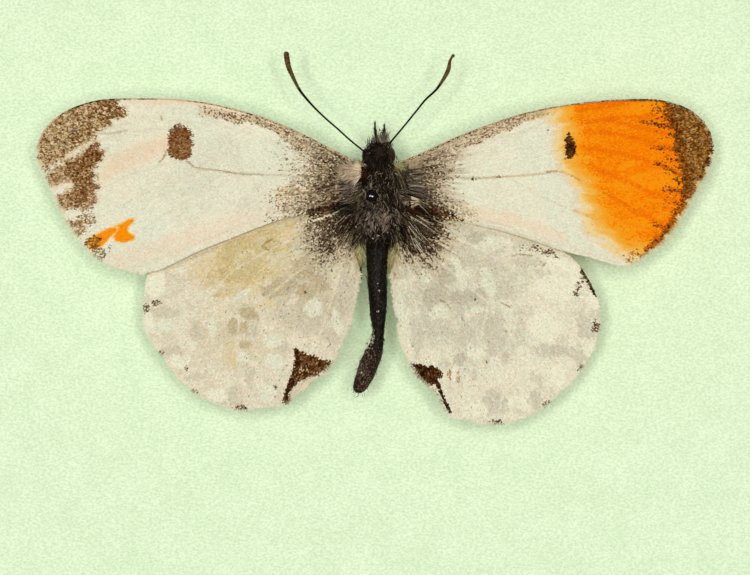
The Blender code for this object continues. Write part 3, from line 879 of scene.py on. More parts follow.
def right_fore_margin(p, edge):
    """The brown tip and margin, breaking inwards along the veins."""
    margin = p.patch(RIGHT_MARGIN, 2.5, 5, 3.5)
    for streak in RIGHT_STREAKS:
        d, along = path_distance(p.c, p.r, streak)
        margin = np.maximum(margin, soft(5.2, 1.6, d + 3.6 * p.cloud(2.5)) * (0.5 + 0.5 * along))
    p.lay((176, 96, 12), 0.7 * margin)
    inside = p.inside(RIGHT_MARGIN)
    freckles = soft(-20, -2, inside) * soft(0.42, 0.66, p.cloud(2.5)) * soft(225, 195, p.r)
    solid = 0.9 * margin * (1 - 0.35 * soft(185, 215, p.r))
    p.speckle(np.maximum(solid, 0.66 * freckles), (76, 32, 0), (168, 106, 40), 0.38)
    p.speckle(0.85 * soft(4, 12, inside) * soft(205, 185, p.r) * margin, (88, 52, 6), (200, 160, 88), 0.4)
    outer = p.off(through(RIGHT_FORE["rear"][10:], EDGE_POINTS))
    p.lay((226, 190, 118), 0.5 * soft(2.8, 0.6, outer + 1.5 * p.sway(4)))
    costa = soft(2.4, 1.0, edge) * soft(556, 600, p.c) * soft(672, 664, p.c)
    p.lay((66, 34, 8), 0.7 * (costa * (0.35 + 0.65 * soft(612, 632, p.c))))
    worn = soft(3.5, 1.5, p.off(RIGHT_RIM) + 2 * p.sway(4)) * soft(185, 160, p.r)
    p.speckle(0.8 * worn, (52, 24, 2), (130, 84, 34), 0.35)
    p.speckle(0.5 * p.blot(*RIGHT_TORNUS), (112, 72, 14), (214, 170, 80), 0.5)
    p.notches(RIGHT_NOTCHES, (230, 210, 150))


def paint_right_fore(rng, c, r):
    p = Paint(rng, c, r, RIGHT_FORE, (232, 227, 198), 22.0)
    edge = p.off(through(RIGHT_FORE["front"], EDGE_POINTS))
    right_fore_ground(p)
    right_fore_orange(p)
    right_fore_edge(p, edge)
    right_fore_base(p, edge)
    right_fore_margin(p, edge)
    p.speckle(soft(-1.0, 1.0, p.inside(RIGHT_SPOT) + 3 * p.sway(2)), (44, 20, 4), (130, 80, 30), 0.3)
    return p.colours


# The hindwings. Clouds are (seen colour, [(column, row, half width, half height, turn), ...]).
LEFT_CLOUDS = [
    ((209, 188, 131), [
        (240, 246, 25, 9, -22), (226, 257, 12, 8, 0), (270, 230, 11, 7, -20), (232, 275, 21, 9, 0),
        (226, 292, 11, 5, 0), (272, 244, 10, 9, 0), (298, 221, 14, 5, -20),
    ]),
    ((220, 210, 160), [
        (265, 303, 15, 6, 0), (254, 292, 6, 8, 0), (205, 264, 20, 6, -20), (246, 258, 10, 12, 0),
        (203, 276, 7, 5, 0), (231, 353, 7, 14, 0), (290, 236, 12, 6, -20),
    ]),
    ((203, 190, 136), [(251, 264, 9, 9, 0), (227, 275, 7, 4, 0), (278, 250, 8, 5, 0)]),
    ((217, 210, 166), [(283, 259, 20, 10, -16)]),
    ((210, 199, 172), [
        (285, 314, 12, 10, 0), (308, 326, 14, 9, 0), (330, 335, 13, 8, 0), (345, 286, 10, 18, 0),
        (198, 328, 9, 10, 0), (165, 311, 15, 6, 0), (172, 352, 15, 6, 0), (237, 395, 7, 12, 0),
        (283, 350, 7, 10, 0), (195, 376, 9, 6, 0), (250, 376, 6, 9, 0), (252, 330, 9, 7, 0),
        (295, 385, 4, 8, 0),
    ]),
    ((192, 179, 138), [
        (280, 287, 19, 8, -12), (247, 311, 10, 9, 0), (307, 290, 9, 8, 0), (320, 282, 12, 10, 0),
        (238, 326, 8, 10, 0), (245, 343, 7, 4, 0), (305, 268, 12, 12, 0),
    ]),
    ((226, 227, 198), [
        (163, 327, 14, 7, 0), (268, 392, 9, 8, 0), (275, 362, 9, 9, 0), (315, 307, 9, 10, 0),
        (337, 318, 5, 15, -14), (298, 247, 6, 6, 0), (332, 264, 5, 9, 0), (213, 327, 4, 13, 0),
        (192, 344, 8, 3, 45), (240, 296, 12, 2.5, -36), (243, 357, 6, 6, 0), (275, 340, 11, 5, 0),
    ]),
    ((239, 235, 206), [
        (157, 283, 10, 12, 0), (178, 363, 10, 7, 20), (217, 394, 14, 6, 15), (149, 323, 5, 10, 0),
    ]),
]
RIGHT_CLOUDS = [
    ((208, 199, 176), [
        (500, 290, 16, 9, 0), (525, 262, 15, 6, 0), (437, 329, 15, 7, 0), (465, 330, 6, 13, 0),
        (495, 335, 10, 16, 0), (505, 357, 5, 8, 0), (585, 325, 11, 12, 0), (550, 350, 15, 7, 0),
        (577, 355, 12, 7, 20), (495, 401, 9, 14, 0), (535, 396, 8, 11, 0), (418, 342, 6, 15, 0),
        (492, 262, 12, 6, 0), (460, 312, 5, 9, -20),
    ]),
    ((194, 187, 162), [
        (432, 294, 15, 11, 0), (468, 295, 21, 7, -5), (475, 237, 11, 8, 0), (460, 358, 6, 7, 0),
        (448, 272, 7, 10, 0),
    ]),
    ((226, 227, 196), [
        (495, 240, 14, 6, -5), (476, 308, 6, 4, 0), (438, 311, 11, 8, 0), (425, 276, 8, 8, 0),
        (487, 281, 6, 13, -20), (507, 313, 5, 13, -40), (492, 308, 3, 10, 0), (400, 316, 8, 19, 0),
        (458, 270, 4, 20, -20),
    ]),
    ((238, 234, 204), [
        (565, 262, 17, 12, 25), (555, 375, 9, 14, 15), (520, 402, 11, 9, 0), (478, 409, 11, 7, 0),
        (592, 300, 8, 13, 0), (590, 346, 8, 8, 0), (553, 288, 20, 10, 0), (473, 352, 9, 9, 0),
        (545, 325, 14, 14, 0),
    ]),
]
LEFT_CORNER = [
    (296, 349), (305, 352), (320, 357), (333, 361), (327, 368), (318, 373), (308, 377), (300, 381),
    (292, 388), (288, 394), (292, 398), (287, 403), (283, 404), (286, 396), (286, 390), (289, 383),
    (292, 375), (295, 368), (295, 358),
]
RIGHT_CORNER = [
    (410, 361), (424, 364), (436, 366), (441, 371), (442, 377), (438, 379), (441, 388), (446, 399),
    (451, 411), (449, 412.5), (443, 401), (438, 390), (434, 383), (429, 386), (420, 376),
]
LEFT_MARKS = [
    (145, 308, 6, 4), (157, 302, 4, 3), (161, 353, 4, 4), (194, 391, 5, 4), (241, 407, 8, 3),
    (187, 367, 2, 3), (276, 385, 2, 1.5), (279, 379, 1.5, 1), (306, 291, 2, 1.5),
]
RIGHT_MARKS = [
    (595, 326, 4, 6), (580, 368, 4, 4), (546, 403, 4, 4), (497, 421, 7, 3), (576, 294, 2.5, 2),
    (548, 251, 5, 3), (534, 246, 3, 2), (486, 361, 2, 1.5), (475, 299, 2, 1.5),
]
LEFT_ROOT = [
    (314, 204), (312, 220), (313, 236), (317, 250), (326, 258), (336, 254), (343, 246), (351, 245),
    (366, 240), (358, 205),
]
RIGHT_ROOT = [
    (400, 206), (446, 210), (446, 222), (441, 235), (436, 248), (431, 258), (420, 256), (409, 254),
    (402, 250), (396, 246), (389, 246), (388, 238), (394, 210),
]
LEFT_VEILS = [
    ((198, 187, 154), 0.75, ((318, 292), 44, 44, 0, 0.6)),
    ((214, 196, 134), 0.95, ((250, 256), 58, 34, -22, 0.5)),
    ((214, 203, 160), 0.6, ((235, 330), 44, 40, 0, 0.6)),
]
# Painted shade on the left hindwing: a darker run just beyond the forewing's hind edge, which overlaps it.
LEFT_OVERLAP_SHADE = [(150, 272), (175, 264), (215, 246), (262, 227), (310, 213)]  # along the forewing's hind edge
LEFT_INNER = [(353, 236), (358, 254), (360, 285), (356, 305)]
LEFT_BROWN_CREASE = [(273, 239), (267, 242), (264, 246), (268, 249)]
LEFT_PALE_SEAM = [(300, 223), (318, 219.5), (332, 215), (347, 209)]
LEFT_CORNER_EDGE = [(297, 350), (297, 362), (294, 375), (288, 388), (286, 400)]
LEFT_CORNER_BLOT = (303, 369), 6, 3, -25
LEFT_CORNER_RIM = [(291, 397), (297, 389), (304, 382), (312, 377)]
RIGHT_VEIL = (462, 292), 62, 62, 0, 0.6
# Painted shade on the right hindwing just beyond the forewing's hind edge, and darker speckles along part of
# it that deepen that painted shade.
RIGHT_OVERLAP_SHADE = [(440, 222), (500, 234), (555, 250), (574, 259)]
RIGHT_OVERLAP_SPECKS = [(520, 246), (545, 252), (556, 258)]
RIGHT_INNER = [(399, 236), (394, 254), (392, 285)]
RIGHT_SCRATCHES = [
    [(511, 256), (516, 254), (524, 254), (531, 255)], [(541, 266), (544, 263)],
    [(440, 299), (446, 302), (449, 307)], [(500, 302), (509, 306)],
]
RIGHT_OUTER_MARK = [(582, 270), (586, 276), (591, 284), (595, 293)]
RIGHT_OUTER_FADE = [(582, 276), (578, 284), (574, 292)]
RIGHT_CORNER_DOTS = [([(449, 371), (449, 378)], 1.5, 3), ([(458, 372), (458, 380)], 0.8, 2.4)]
RIGHT_CORNER_RIM = [(429, 387), (434, 391), (439, 401), (445, 411)]


def hind_root(p, ring, dark):
    """The dusting at a hindwing's root, in streaks."""
    depth = p.inside(ring) + 20 * (p.rays - 0.5) + 9 * p.sway(10)
    p.lay((190, 176, 140), 0.6 * soft(-24, -6, depth))
    p.dust(depth, [(0.4, -20, -4, (104, 86, 56), (214, 200, 166), 0.5),
                   (0.95, -6, 3, (30, 12, 2), (216, 196, 164), dark),
                   (0.6, 5, 14, (24, 10, 2), (150, 122, 92), 0.3)])


def left_hind_marks(p):
    """Dark scales along the seam with the forewing, worn marks, and the dark inner corner."""
    p.speckle(0.9 * p.near(LEFT_SEAM, 3, 6), (26, 12, 3), (176, 142, 96), 0.3)
    p.speckle(0.7 * p.near(LEFT_PALE_SEAM, 0.3, 1.6), (190, 166, 130), (246, 232, 200), 0.7)
    p.marks(LEFT_MARKS)
    p.speckle(p.patch(LEFT_CORNER, 1.4, 2.0, 3), (54, 24, 2), (188, 150, 106), 0.27)
    p.speckle(0.8 * p.near(LEFT_CORNER_EDGE, 1.5, 4), (40, 16, 2), (112, 72, 34), 0.25)
    p.speckle(0.5 * p.blot(*LEFT_CORNER_BLOT), (180, 150, 108), (222, 196, 154), 0.5)
    p.lay((214, 198, 168), 0.8 * p.near(LEFT_CORNER_RIM, 1.4, 3.0))


def paint_left_hind(rng, c, r):
    p = Paint(rng, c, r, LEFT_HIND, (227, 217, 187), 12.0)
    p.drift([(221, 217, 186), (231, 219, 192)])
    for tone, amount, oblong in LEFT_VEILS:
        p.lay(tone, amount * p.blot(*oblong))
    p.drift([(212, 201, 172), (234, 227, 192)], 14, 0.5)
    p.clouds(LEFT_CLOUDS)
    p.veins(LEFT_HIND["veins"], (234, 225, 190), 0.5, 1.8)
    specks = 0.08 * soft(0.5, 0.7, p.cloud(6)) * soft(170, 300, c + 0.3 * (320 - r))
    p.speckle(specks, (150, 132, 102), (200, 186, 156), 0.5)
    # Painted shade where the forewing's hind edge overlaps this wing.
    p.lay((184, 166, 126), 0.45 * p.near(LEFT_OVERLAP_SHADE, 1, 6))
    hind_root(p, LEFT_ROOT, 0.46)
    p.lay((176, 168, 116), 0.75 * p.near(LEFT_INNER, 2, 7) * soft(292, 258, r))
    p.lay((118, 98, 48), 0.5 * p.near(LEFT_BROWN_CREASE, 0.4, 1.6))
    left_hind_marks(p)
    return p.colours


def right_hind_marks(p):
    """Scratches, worn marks, and the dark inner corner."""
    for scratch in RIGHT_SCRATCHES:
        p.lay((140, 122, 88), 0.6 * p.near(scratch, 0.3, 1.3))
    p.marks(RIGHT_MARKS)
    p.speckle(p.near(RIGHT_OUTER_MARK, 2.4, 4.2), (44, 22, 10), (150, 112, 88), 0.32)
    p.speckle(0.6 * p.near(RIGHT_OUTER_FADE, 1.4, 4.5), (92, 58, 40), (206, 176, 150), 0.4)
    for dot in RIGHT_CORNER_DOTS:
        p.speckle(0.7 * p.near(*dot), (150, 108, 52), (212, 180, 124), 0.4)
    p.speckle(p.patch(RIGHT_CORNER, 1.1, 1.6, 3), (30, 12, 0), (150, 104, 58), 0.2)
    p.lay((226, 222, 198), 0.8 * p.near(RIGHT_CORNER_RIM, 0.6, 1.8))


def paint_right_hind(rng, c, r):
    p = Paint(rng, c, r, RIGHT_HIND, (230, 222, 194), 24.0)
    p.drift([(224, 222, 196), (233, 223, 196)])
    p.lay((208, 200, 174), 0.8 * p.blot(*RIGHT_VEIL))
    p.drift([(204, 195, 172), (232, 228, 196)], 13, 0.6)
    p.clouds(RIGHT_CLOUDS)
    p.veins(RIGHT_HIND["veins"], (234, 227, 200), 0.45, 1.8)
    p.speckle(0.05 * soft(0.5, 0.7, p.cloud(6)) * soft(580, 430, c), (160, 144, 116), (204, 190, 162), 0.5)
    # Painted shade where the forewing's hind edge overlaps this wing, deepened by darker speckles.
    p.lay((196, 182, 152), 0.45 * p.near(RIGHT_OVERLAP_SHADE, 1, 6))
    p.speckle(0.35 * p.near(RIGHT_OVERLAP_SPECKS, 1, 5), (110, 84, 66), (214, 190, 170), 0.5)
    hind_root(p, RIGHT_ROOT, 0.25)
    p.lay((180, 172, 114), 0.75 * p.near(RIGHT_INNER, 2, 7) * soft(290, 255, r))
    right_hind_marks(p)
    return p.colours


def paint_under_hind(rng, c, r):
    """Pale, with the moss-green marbling of the kind's underside."""
    p = Paint(rng, c, r, RIGHT_HIND, (231, 229, 208))
    p.speckle(0.9 * soft(0.49, 0.56, p.cloud(30)), (106, 104, 48), (190, 184, 112), 0.45)
    return p.colours


UNDER_SPOT = (194, 143), (8, 12)  # middle, as pixels out from the insect's and a row, and half its size


def under_fore(tip):
    """The underside of a forewing: pale, with its discal spot and the tip's colour washed in."""
    def paint(rng, c, r):
        p = Paint(rng, c, r, RIGHT_FORE, (231, 228, 206))
        out = np.abs(c - SEEN_X)
        if tip is not None:
            p.lay(tip, soft(185, 215, out))
        p.speckle(soft(300, 330, out + 8 * p.cloud(9)), (130, 124, 64), (226, 220, 180), 0.5)
        p.speckle(soft(1.2, 0.7, oval(out, r, *UNDER_SPOT)), (44, 28, 16), (90, 66, 44), 0.4)
        return p.colours
    return paint


WASHED_ORANGE = (244, 160, 40)
LEFT_FORE |= {"top": paint_left_fore, "under": under_fore(None)}
RIGHT_FORE |= {"top": paint_right_fore, "under": under_fore(WASHED_ORANGE)}
LEFT_HIND |= {"top": paint_left_hind, "under": paint_under_hind}
RIGHT_HIND |= {"top": paint_right_hind, "under": paint_under_hind}


# --------------------------------------------------------------------------------------------------
# Building a wing

# A scale, as (across, along, height) in units of its width, length and lift: with a notched tip on the upper
# side, and plain beneath and in the fringe.
NOTCHED = (np.array([(-0.2, 0.0, 0.0), (0.2, 0.0, 0.0), (-0.5, 0.5, 0.6), (0.5, 0.5, 0.6), (-0.36, 1.0, 1.0),
                     (0.0, 0.9, 0.97), (0.36, 1.0, 1.0)]),
           np.array([(0, 1, 3), (0, 3, 2), (2, 5, 4), (2, 3, 5), (5, 3, 6)]))
PLAIN = (np.array([(-0.3, 0.0, 0.0), (0.3, 0.0, 0.0), (0.5, 0.6, 0.6), (-0.5, 0.6, 0.6), (0.0, 1.0, 1.0)]),
         np.array([(0, 1, 2), (0, 2, 3), (3, 2, 4)]))
# For the upper side (1) and underside (-1): painter, kind, spacing across and along, inset from the edge.
SIDES = {1: ("top", NOTCHED, 0.070, 0.095, 0.05), -1: ("under", PLAIN, 0.15, 0.2, 0.3)}
SCALE_WIDE, SCALE_LONG = 1.3, 1.62  # size in spacings, so that scales overlap
SCALE_SIZE = (0.9, 1.12)  # the smallest and the largest, as a factor
SCALE_LIFT = (0.012, 0.04)  # how far a scale's tip stands up, in millimetres
SCALE_TURN, SCALE_ROLL = 0.10, 0.12  # how far they are askew on average, in radians
FRINGE_POINTS, FRINGE_STEP, FRINGE_EACH = 1600, 0.03, 3  # along the margin, and scales at each step
FRINGE_INSET, FRINGE_WIDE, FRINGE_LONG = (0.03, 0.2), (0.022, 0.04), (0.12, 0.24)
FRINGE_TONE = (236, 226, 188)
COSTA_HIGH = 0.03  # over the wing's surface
COSTA_THIN, COSTA_THICKER = 0.05, 0.03  # radius at the tip, and how much more it is at the root
COSTA_TONE, COSTA_DARK, COSTA_LIGHT = (206, 184, 140.0), (34.0, 20, 6), (120.0, 90, 50)
# Where the front veins are dark: (first column, last column, share).
LEFT_COSTA_SPANS = [(60, 75, 0.8), (75, 130, 1.0), (140, 160, 0.55), (190, 205, 0.5), (205, 355, 0.35)]
RIGHT_COSTA_SPANS = [(400, 560, 0.5), (560, 625, 0.45), (625, 664, 1.0), (664, 714, 0.8)]


def rows_of_places(wing, rng, across, along, inset):
    """Places for scales on a wing in rows like roof tiles, and the way each points, away from the body."""
    ring = seen(ring_of(wing))
    pole = seen([wing["pole"]])[0]
    reach = np.linalg.norm(ring - pole, axis=1)
    angles = np.unwrap(np.arctan2(ring[:, 1] - pole[1], ring[:, 0] - pole[0]))
    places = []
    for k, radius in enumerate(np.arange(reach.min(), reach.max(), along)):
        step = across / radius
        a = np.arange(angles.min(), angles.max(), step) + step * (k % 2) / 2
        places.append(np.stack([np.full(len(a), radius), a], 1))
    radius, angle = np.vstack(places).T
    radius = radius + rng.normal(0, 0.3 * along, len(radius))
    angle = angle + rng.normal(0, 0.28 * across, len(angle)) / radius
    x, y = pole[0] + radius * np.cos(angle), pole[1] + radius * np.sin(angle)
    keep = depth_in(x, y, ring) > inset
    return x[keep], y[keep], angle[keep]


def laid_scales(x, y, z, heading, wide, long, lift, roll, kind, side=1):
    """Points and faces of many scales of one kind; each other value is an array with one for each scale."""
    shape, faces = kind
    u = shape[None, :, 0] * wide[:, None]
    v = shape[None, :, 1] * long[:, None]
    w = shape[None, :, 2] * lift[:, None] + u * roll[:, None]
    px = x[:, None] + v * np.cos(heading)[:, None] - u * np.sin(heading)[:, None]
    py = y[:, None] + v * np.sin(heading)[:, None] + u * np.cos(heading)[:, None]
    pz = z[:, None] + side * w
    points = np.stack([px, py, pz], -1).reshape(-1, 3)
    order = faces[:, ::-1] if side > 0 else faces
    every = (np.arange(len(x))[:, None, None] * len(shape) + order[None]).reshape(-1, 3)
    return points, every


def wing_scales(wing, side=1):
    """The scales of one side of a wing as one piece."""
    name = wing["node"] + ("_scales" if side > 0 else "_under_scales")
    rng = np.random.default_rng(wing["seed"] * 10 + side)
    painter, kind, across, along, inset = SIDES[side]
    x, y, heading = rows_of_places(wing, rng, across, along, inset)
    count = len(x)
    heading = heading + rng.normal(0, SCALE_TURN, count)
    z = surface(wing, x, y) + side * (MEMBRANE / 2 + SCALE_GAP)
    colours = wing[painter](rng, *pixel_of(x, y))
    colours = colours + wing["uneven"] * (rng.normal(0, 1, (count, 1)) + 0.6 * rng.normal(0, 1, (count, 3)))
    size = rng.uniform(*SCALE_SIZE, count)
    lift, roll = rng.uniform(*SCALE_LIFT, count), rng.normal(0, SCALE_ROLL, count)
    wide, long = SCALE_WIDE * across * size, SCALE_LONG * along * size
    points, every = laid_scales(x, y, z, heading, wide, long, lift, roll, kind, side)
    mesh = mesh_of(name, points, every, np.repeat(nearest(SCALES[1], colours), len(kind[1])))
    return add_piece(name, mesh, SCALES[0])


def membrane_finish(name):
    """Pale horn-like skin: its painted tone, clouded and finely crinkled."""
    mat, nodes, links, shader = node_finish(name, 0.6, 0.08)
    tone = nodes.new("ShaderNodeAttribute")
    tone.attribute_name = "tone"
    cloud = add_noise(nodes, links, 1.1, 4.0)
    worn = add_tones(nodes, links, cloud, [(226, 226, 226), (255, 255, 255)])
    mix = nodes.new("ShaderNodeMix")
    mix.data_type = "RGBA"
    mix.blend_type = "MULTIPLY"
    mix.inputs[0].default_value = 0.5
    links.new(tone.outputs["Color"], mix.inputs[6])
    links.new(worn, mix.inputs[7])
    links.new(mix.outputs[2], shader.inputs["Base Color"])
    add_bump(nodes, links, shader, cloud, 0.02, 0.3)
    return mat


def sheet_faces(along, across):
    """Quads of a thin sheet with that many steps each way: its two sides and the wall round its rim."""
    count, wide = (along + 1) * (across + 1), across + 1
    i, j = np.meshgrid(np.arange(along), np.arange(across), indexing="ij")
    quads = np.stack([i * wide + j, i * wide + j + 1, (i + 1) * wide + j + 1, (i + 1) * wide + j], -1)
    quads = quads.reshape(-1, 4)
    ends, sides = np.arange(across), np.arange(along)
    rim = np.concatenate([sides * wide, along * wide + ends, (along - sides) * wide + across, across - ends])
    walls = np.stack([rim, np.roll(rim, -1), np.roll(rim, -1) + count, rim + count], 1)
    return np.vstack([quads, quads[:, ::-1] + count, walls])


def membrane(wing, along=120, across=48):
    """The wing's skin: a loft between its margins, with veins raised on both sides."""
    name = wing["node"] + "_membrane"
    first, last = seen(through(wing["front"], along + 1)), seen(through(wing["rear"], along + 1))
    share = np.linspace(0, 1, across + 1)[None, :, None]
    flat = first[:, None, :] * (1 - share) + last[:, None, :] * share
    x, y = flat[..., 0].ravel(), flat[..., 1].ravel()
    z = surface(wing, x, y)
    faces = sheet_faces(along, across)
    if np.cross(last[0] - first[0], first[1] - first[0]) < 0:
        faces = faces[:, ::-1]
    points = np.vstack([np.stack([x, y, z + MEMBRANE / 2], 1), np.stack([x, y, z - MEMBRANE / 2], 1)])
    mesh = mesh_of(name, points, faces)
    rng = np.random.default_rng(wing["seed"])
    place = pixel_of(x, y)
    tones = finish_of(np.vstack([wing["top"](rng, *place), wing["under"](rng, *place)]))
    tone = mesh.color_attributes.new("tone", "FLOAT_COLOR", "POINT")
    tone.data.foreach_set("color", np.hstack([tones, np.ones((len(points), 1))]).ravel())
    return add_piece(name, mesh, [membrane_finish(name + "_skin")], [wing["node"]])


def wing_fringe(wing):
    """Hair-like scales along the outer margin."""
    rng = np.random.default_rng(wing["seed"] + 70)
    edge = seen(through(wing["rear"], FRINGE_POINTS))[int(FRINGE_POINTS * wing["fringe"]):]
    step = np.linalg.norm(np.diff(edge, axis=0), axis=1).mean()
    tangent = unit(np.gradient(edge, axis=0))
    outward = np.stack([tangent[:, 1], -tangent[:, 0]], 1)
    if ((edge - seen(ring_of(wing)).mean(0)) * outward).sum(1).mean() < 0:
        outward = -outward
    at = np.repeat(np.arange(0, len(edge), max(1, round(FRINGE_STEP / step))), FRINGE_EACH)
    x, y = (edge[at] - outward[at] * rng.uniform(*FRINGE_INSET, (len(at), 1))).T
    worn = noise(x, y, 0.5, wing["seed"] + 71)
    keep = rng.random(len(at)) < 0.3 + 0.7 * worn
    x, y, at, worn = x[keep], y[keep], at[keep], worn[keep]
    count = len(at)
    heading = np.arctan2(outward[at, 1], outward[at, 0]) + rng.normal(0, 0.14, count)
    z = surface(wing, x, y) + rng.uniform(-0.01, 0.03, count)
    colours = wing["top"](rng, *pixel_of(x, y))
    colours = 0.5 * colours + 0.5 * np.array(FRINGE_TONE) + rng.normal(0, 6, (count, 1))
    long = rng.uniform(*FRINGE_LONG, count) + 0.16 * worn
    wide, lift = rng.uniform(*FRINGE_WIDE, count), rng.uniform(-0.02, 0.03, count)
    points, faces = laid_scales(x, y, z, heading, wide, long, lift, rng.normal(0, 0.2, count), PLAIN)
    name = wing["node"] + "_fringe"
    mesh = mesh_of(name, points, faces, np.repeat(nearest(SCALES[1], colours), len(PLAIN[1])))
    return add_piece(name, mesh, SCALES[0])


def costa(name, wing, dark_spans):
    """The thick front vein, dark where its scales are rubbed off."""
    route = through(wing["front"], 220)
    flat = seen(route)
    z = surface(wing, flat[:, 0], flat[:, 1]) + COSTA_HIGH
    radius = COSTA_THIN + COSTA_THICKER * soft(200, 20, np.abs(route[:, 0] - SEEN_X))
    points, faces, share = loft(np.column_stack([flat, z, radius, radius]), 6)
    column = np.interp(share, np.linspace(0, 1, len(route)), route[:, 0])
    dark = np.zeros(len(column))
    for low, high, amount in dark_spans:
        dark = np.maximum(dark, amount * soft(low - 4, low + 4, column) * soft(high + 4, high - 4, column))
    rng = np.random.default_rng(wing["seed"] + 90)
    colours = np.tile(np.array(COSTA_TONE), (len(column), 1))
    dark = dark * (0.6 + 0.4 * noise(column, 0 * column, 4, 5))
    hit = rng.random(len(colours)) < dark
    t = rng.beta(1.2, 2.8, (hit.sum(), 1))
    colours[hit] = np.array(COSTA_DARK) * (1 - t) + np.array(COSTA_LIGHT) * t
    mesh = mesh_of(name, points, faces, nearest(SCALES[1], colours))
    return add_piece(name, mesh, SCALES[0])


def build_wings():
    for wing in (LEFT_FORE, RIGHT_FORE, LEFT_HIND, RIGHT_HIND):
        membrane(wing)
        wing_scales(wing)
        wing_scales(wing, side=-1)
        wing_fringe(wing)
    costa("left_costa", LEFT_FORE, LEFT_COSTA_SPANS)
    costa("right_costa", RIGHT_FORE, RIGHT_COSTA_SPANS)


# --------------------------------------------------------------------------------------------------
# Hairs


class Hairs:
    """Collects the hairs of one piece. Tones are (dark colour, light colour, average share of the light)."""

    def __init__(self, seed):
        self.rng = np.random.default_rng(seed)
        self.parts = []

    def add(self, root, way, bend, thick, tones):
        dark, light, middle = tones
        t = self.rng.beta(3 * middle, 3 * (1 - middle), len(root))[:, None]
        radius = thick * self.rng.uniform(0.6, 1.2, len(root))
        self.parts.append((root, way, bend, radius, np.asarray(dark) * (1 - t) + np.asarray(light) * t))

    def over(self, body, count, lean, stand, length, tones, thick=0.02, part=None):
        """Hairs all over an ellipsoid: `lean` is the way they lie, `stand` how much they stand off it."""
        centre, radii = np.asarray(body[0]), np.asarray(body[1])
        place = unit(self.rng.normal(size=(6 * count, 3)))
        if part is not None:
            place = place[part(place)]
        place = place[:count]
        way = np.asarray(lean) + stand * unit(place / radii) + self.rng.normal(0, 0.3, place.shape)
        way = unit(way) * self.rng.uniform(*length, len(place))[:, None]
        bend = 0.25 * np.asarray(lean) * np.linalg.norm(way, axis=1)[:, None] - [0, 0, 0.06]
        self.add(centre + 0.96 * place * radii, way, bend, thick, tones)

    def tuft(self, place, spread, height, count, heading, fan, length, rise, tones, thick=0.018, drop=0.12):
        """Hairs from about a pixel place that point about `heading`: 0 is right, 90 towards the head."""
        c = place[0] + self.rng.normal(0, spread[0], count)
        r = place[1] + self.rng.normal(0, spread[1], count)
        root = np.column_stack([seen(np.stack([c, r], 1)), height + self.rng.normal(0, 0.05, count)])
        a = np.radians(heading + self.rng.normal(0, fan, count))
        long = self.rng.uniform(*length, count)[:, None]
        way = long * np.stack([np.cos(a), np.sin(a), rise + self.rng.normal(0, 0.06, count)], 1)
        curl = self.rng.normal(0, 0.1, (count, 1)) * np.stack([-np.sin(a), np.cos(a), 0 * a], 1)
        self.add(root, way, long * (curl - [0, 0, drop]), thick, tones)

    def tufts(self, rows):
        for row in rows:
            self.tuft(*row)

    def piece(self, name, replaces=()):
        """Three-sided tapering hairs, each a curve from its root, as one piece."""
        root, way, bend, radius, colours = [np.concatenate(column) for column in zip(*self.parts)]
        t = np.array([0.0, 0.5, 1.0])[None, :, None]
        spine = root[:, None] + way[:, None] * t + bend[:, None] * t * t
        side = unit(np.cross(way, [0.13, 0.21, 0.97]))
        over = unit(np.cross(way, side))
        turn = 2 * math.pi * np.arange(3) / 3
        ring = np.cos(turn)[None, :, None] * side[:, None] + np.sin(turn)[None, :, None] * over[:, None]
        ring = ring * radius[:, None, None]
        points = np.concatenate([spine[:, 0:1] + ring, spine[:, 1:2] + 0.8 * ring, spine[:, 2:3]], 1)
        points = points.reshape(-1, 3)
        faces = []
        for k, n in ((0, 1), (1, 2), (2, 0)):
            faces += [(k, n, 3 + n), (k, 3 + n, 3 + k), (3 + k, 3 + n, 6)]
        every = (np.arange(len(root))[:, None, None] * 7 + np.array(faces)[None]).reshape(-1, 3)
        mesh = mesh_of(name, points, every, np.repeat(nearest(HAIRS[1], colours), len(faces)))
        return add_piece(name, mesh, HAIRS[0], replaces)


BLACK_FUR = ((8, 5, 2), (92, 76, 56), 0.3)
DARK_FUR = ((12, 7, 3), (186, 168, 144), 0.36)
BROWN_FUR = ((28, 16, 6), (160, 132, 100), 0.4)
GREY_FUR = ((60, 50, 40), (206, 192, 166), 0.5)
OLIVE_FUR = ((52, 46, 28), (178, 170, 128), 0.42)
MAUVE_FUR = ((74, 56, 46), (206, 176, 162), 0.5)
RUSSET_FUR = ((16, 6, 2), (106, 64, 36), 0.25)
WINE_FUR = ((30, 14, 8), (148, 112, 86), 0.32)
GREEN_FUR = ((8, 14, 8), (74, 88, 64), 0.3)
CREAM_FUR = ((150, 120, 86), (248, 230, 200), 0.68)
SALLOW_FUR = ((98, 88, 46), (212, 204, 150), 0.6)
PALE_FUR = ((176, 160, 134), (240, 228, 204), 0.6)
INNER_FUR = ((118, 112, 60), (212, 206, 142), 0.55)


# --------------------------------------------------------------------------------------------------
# Body

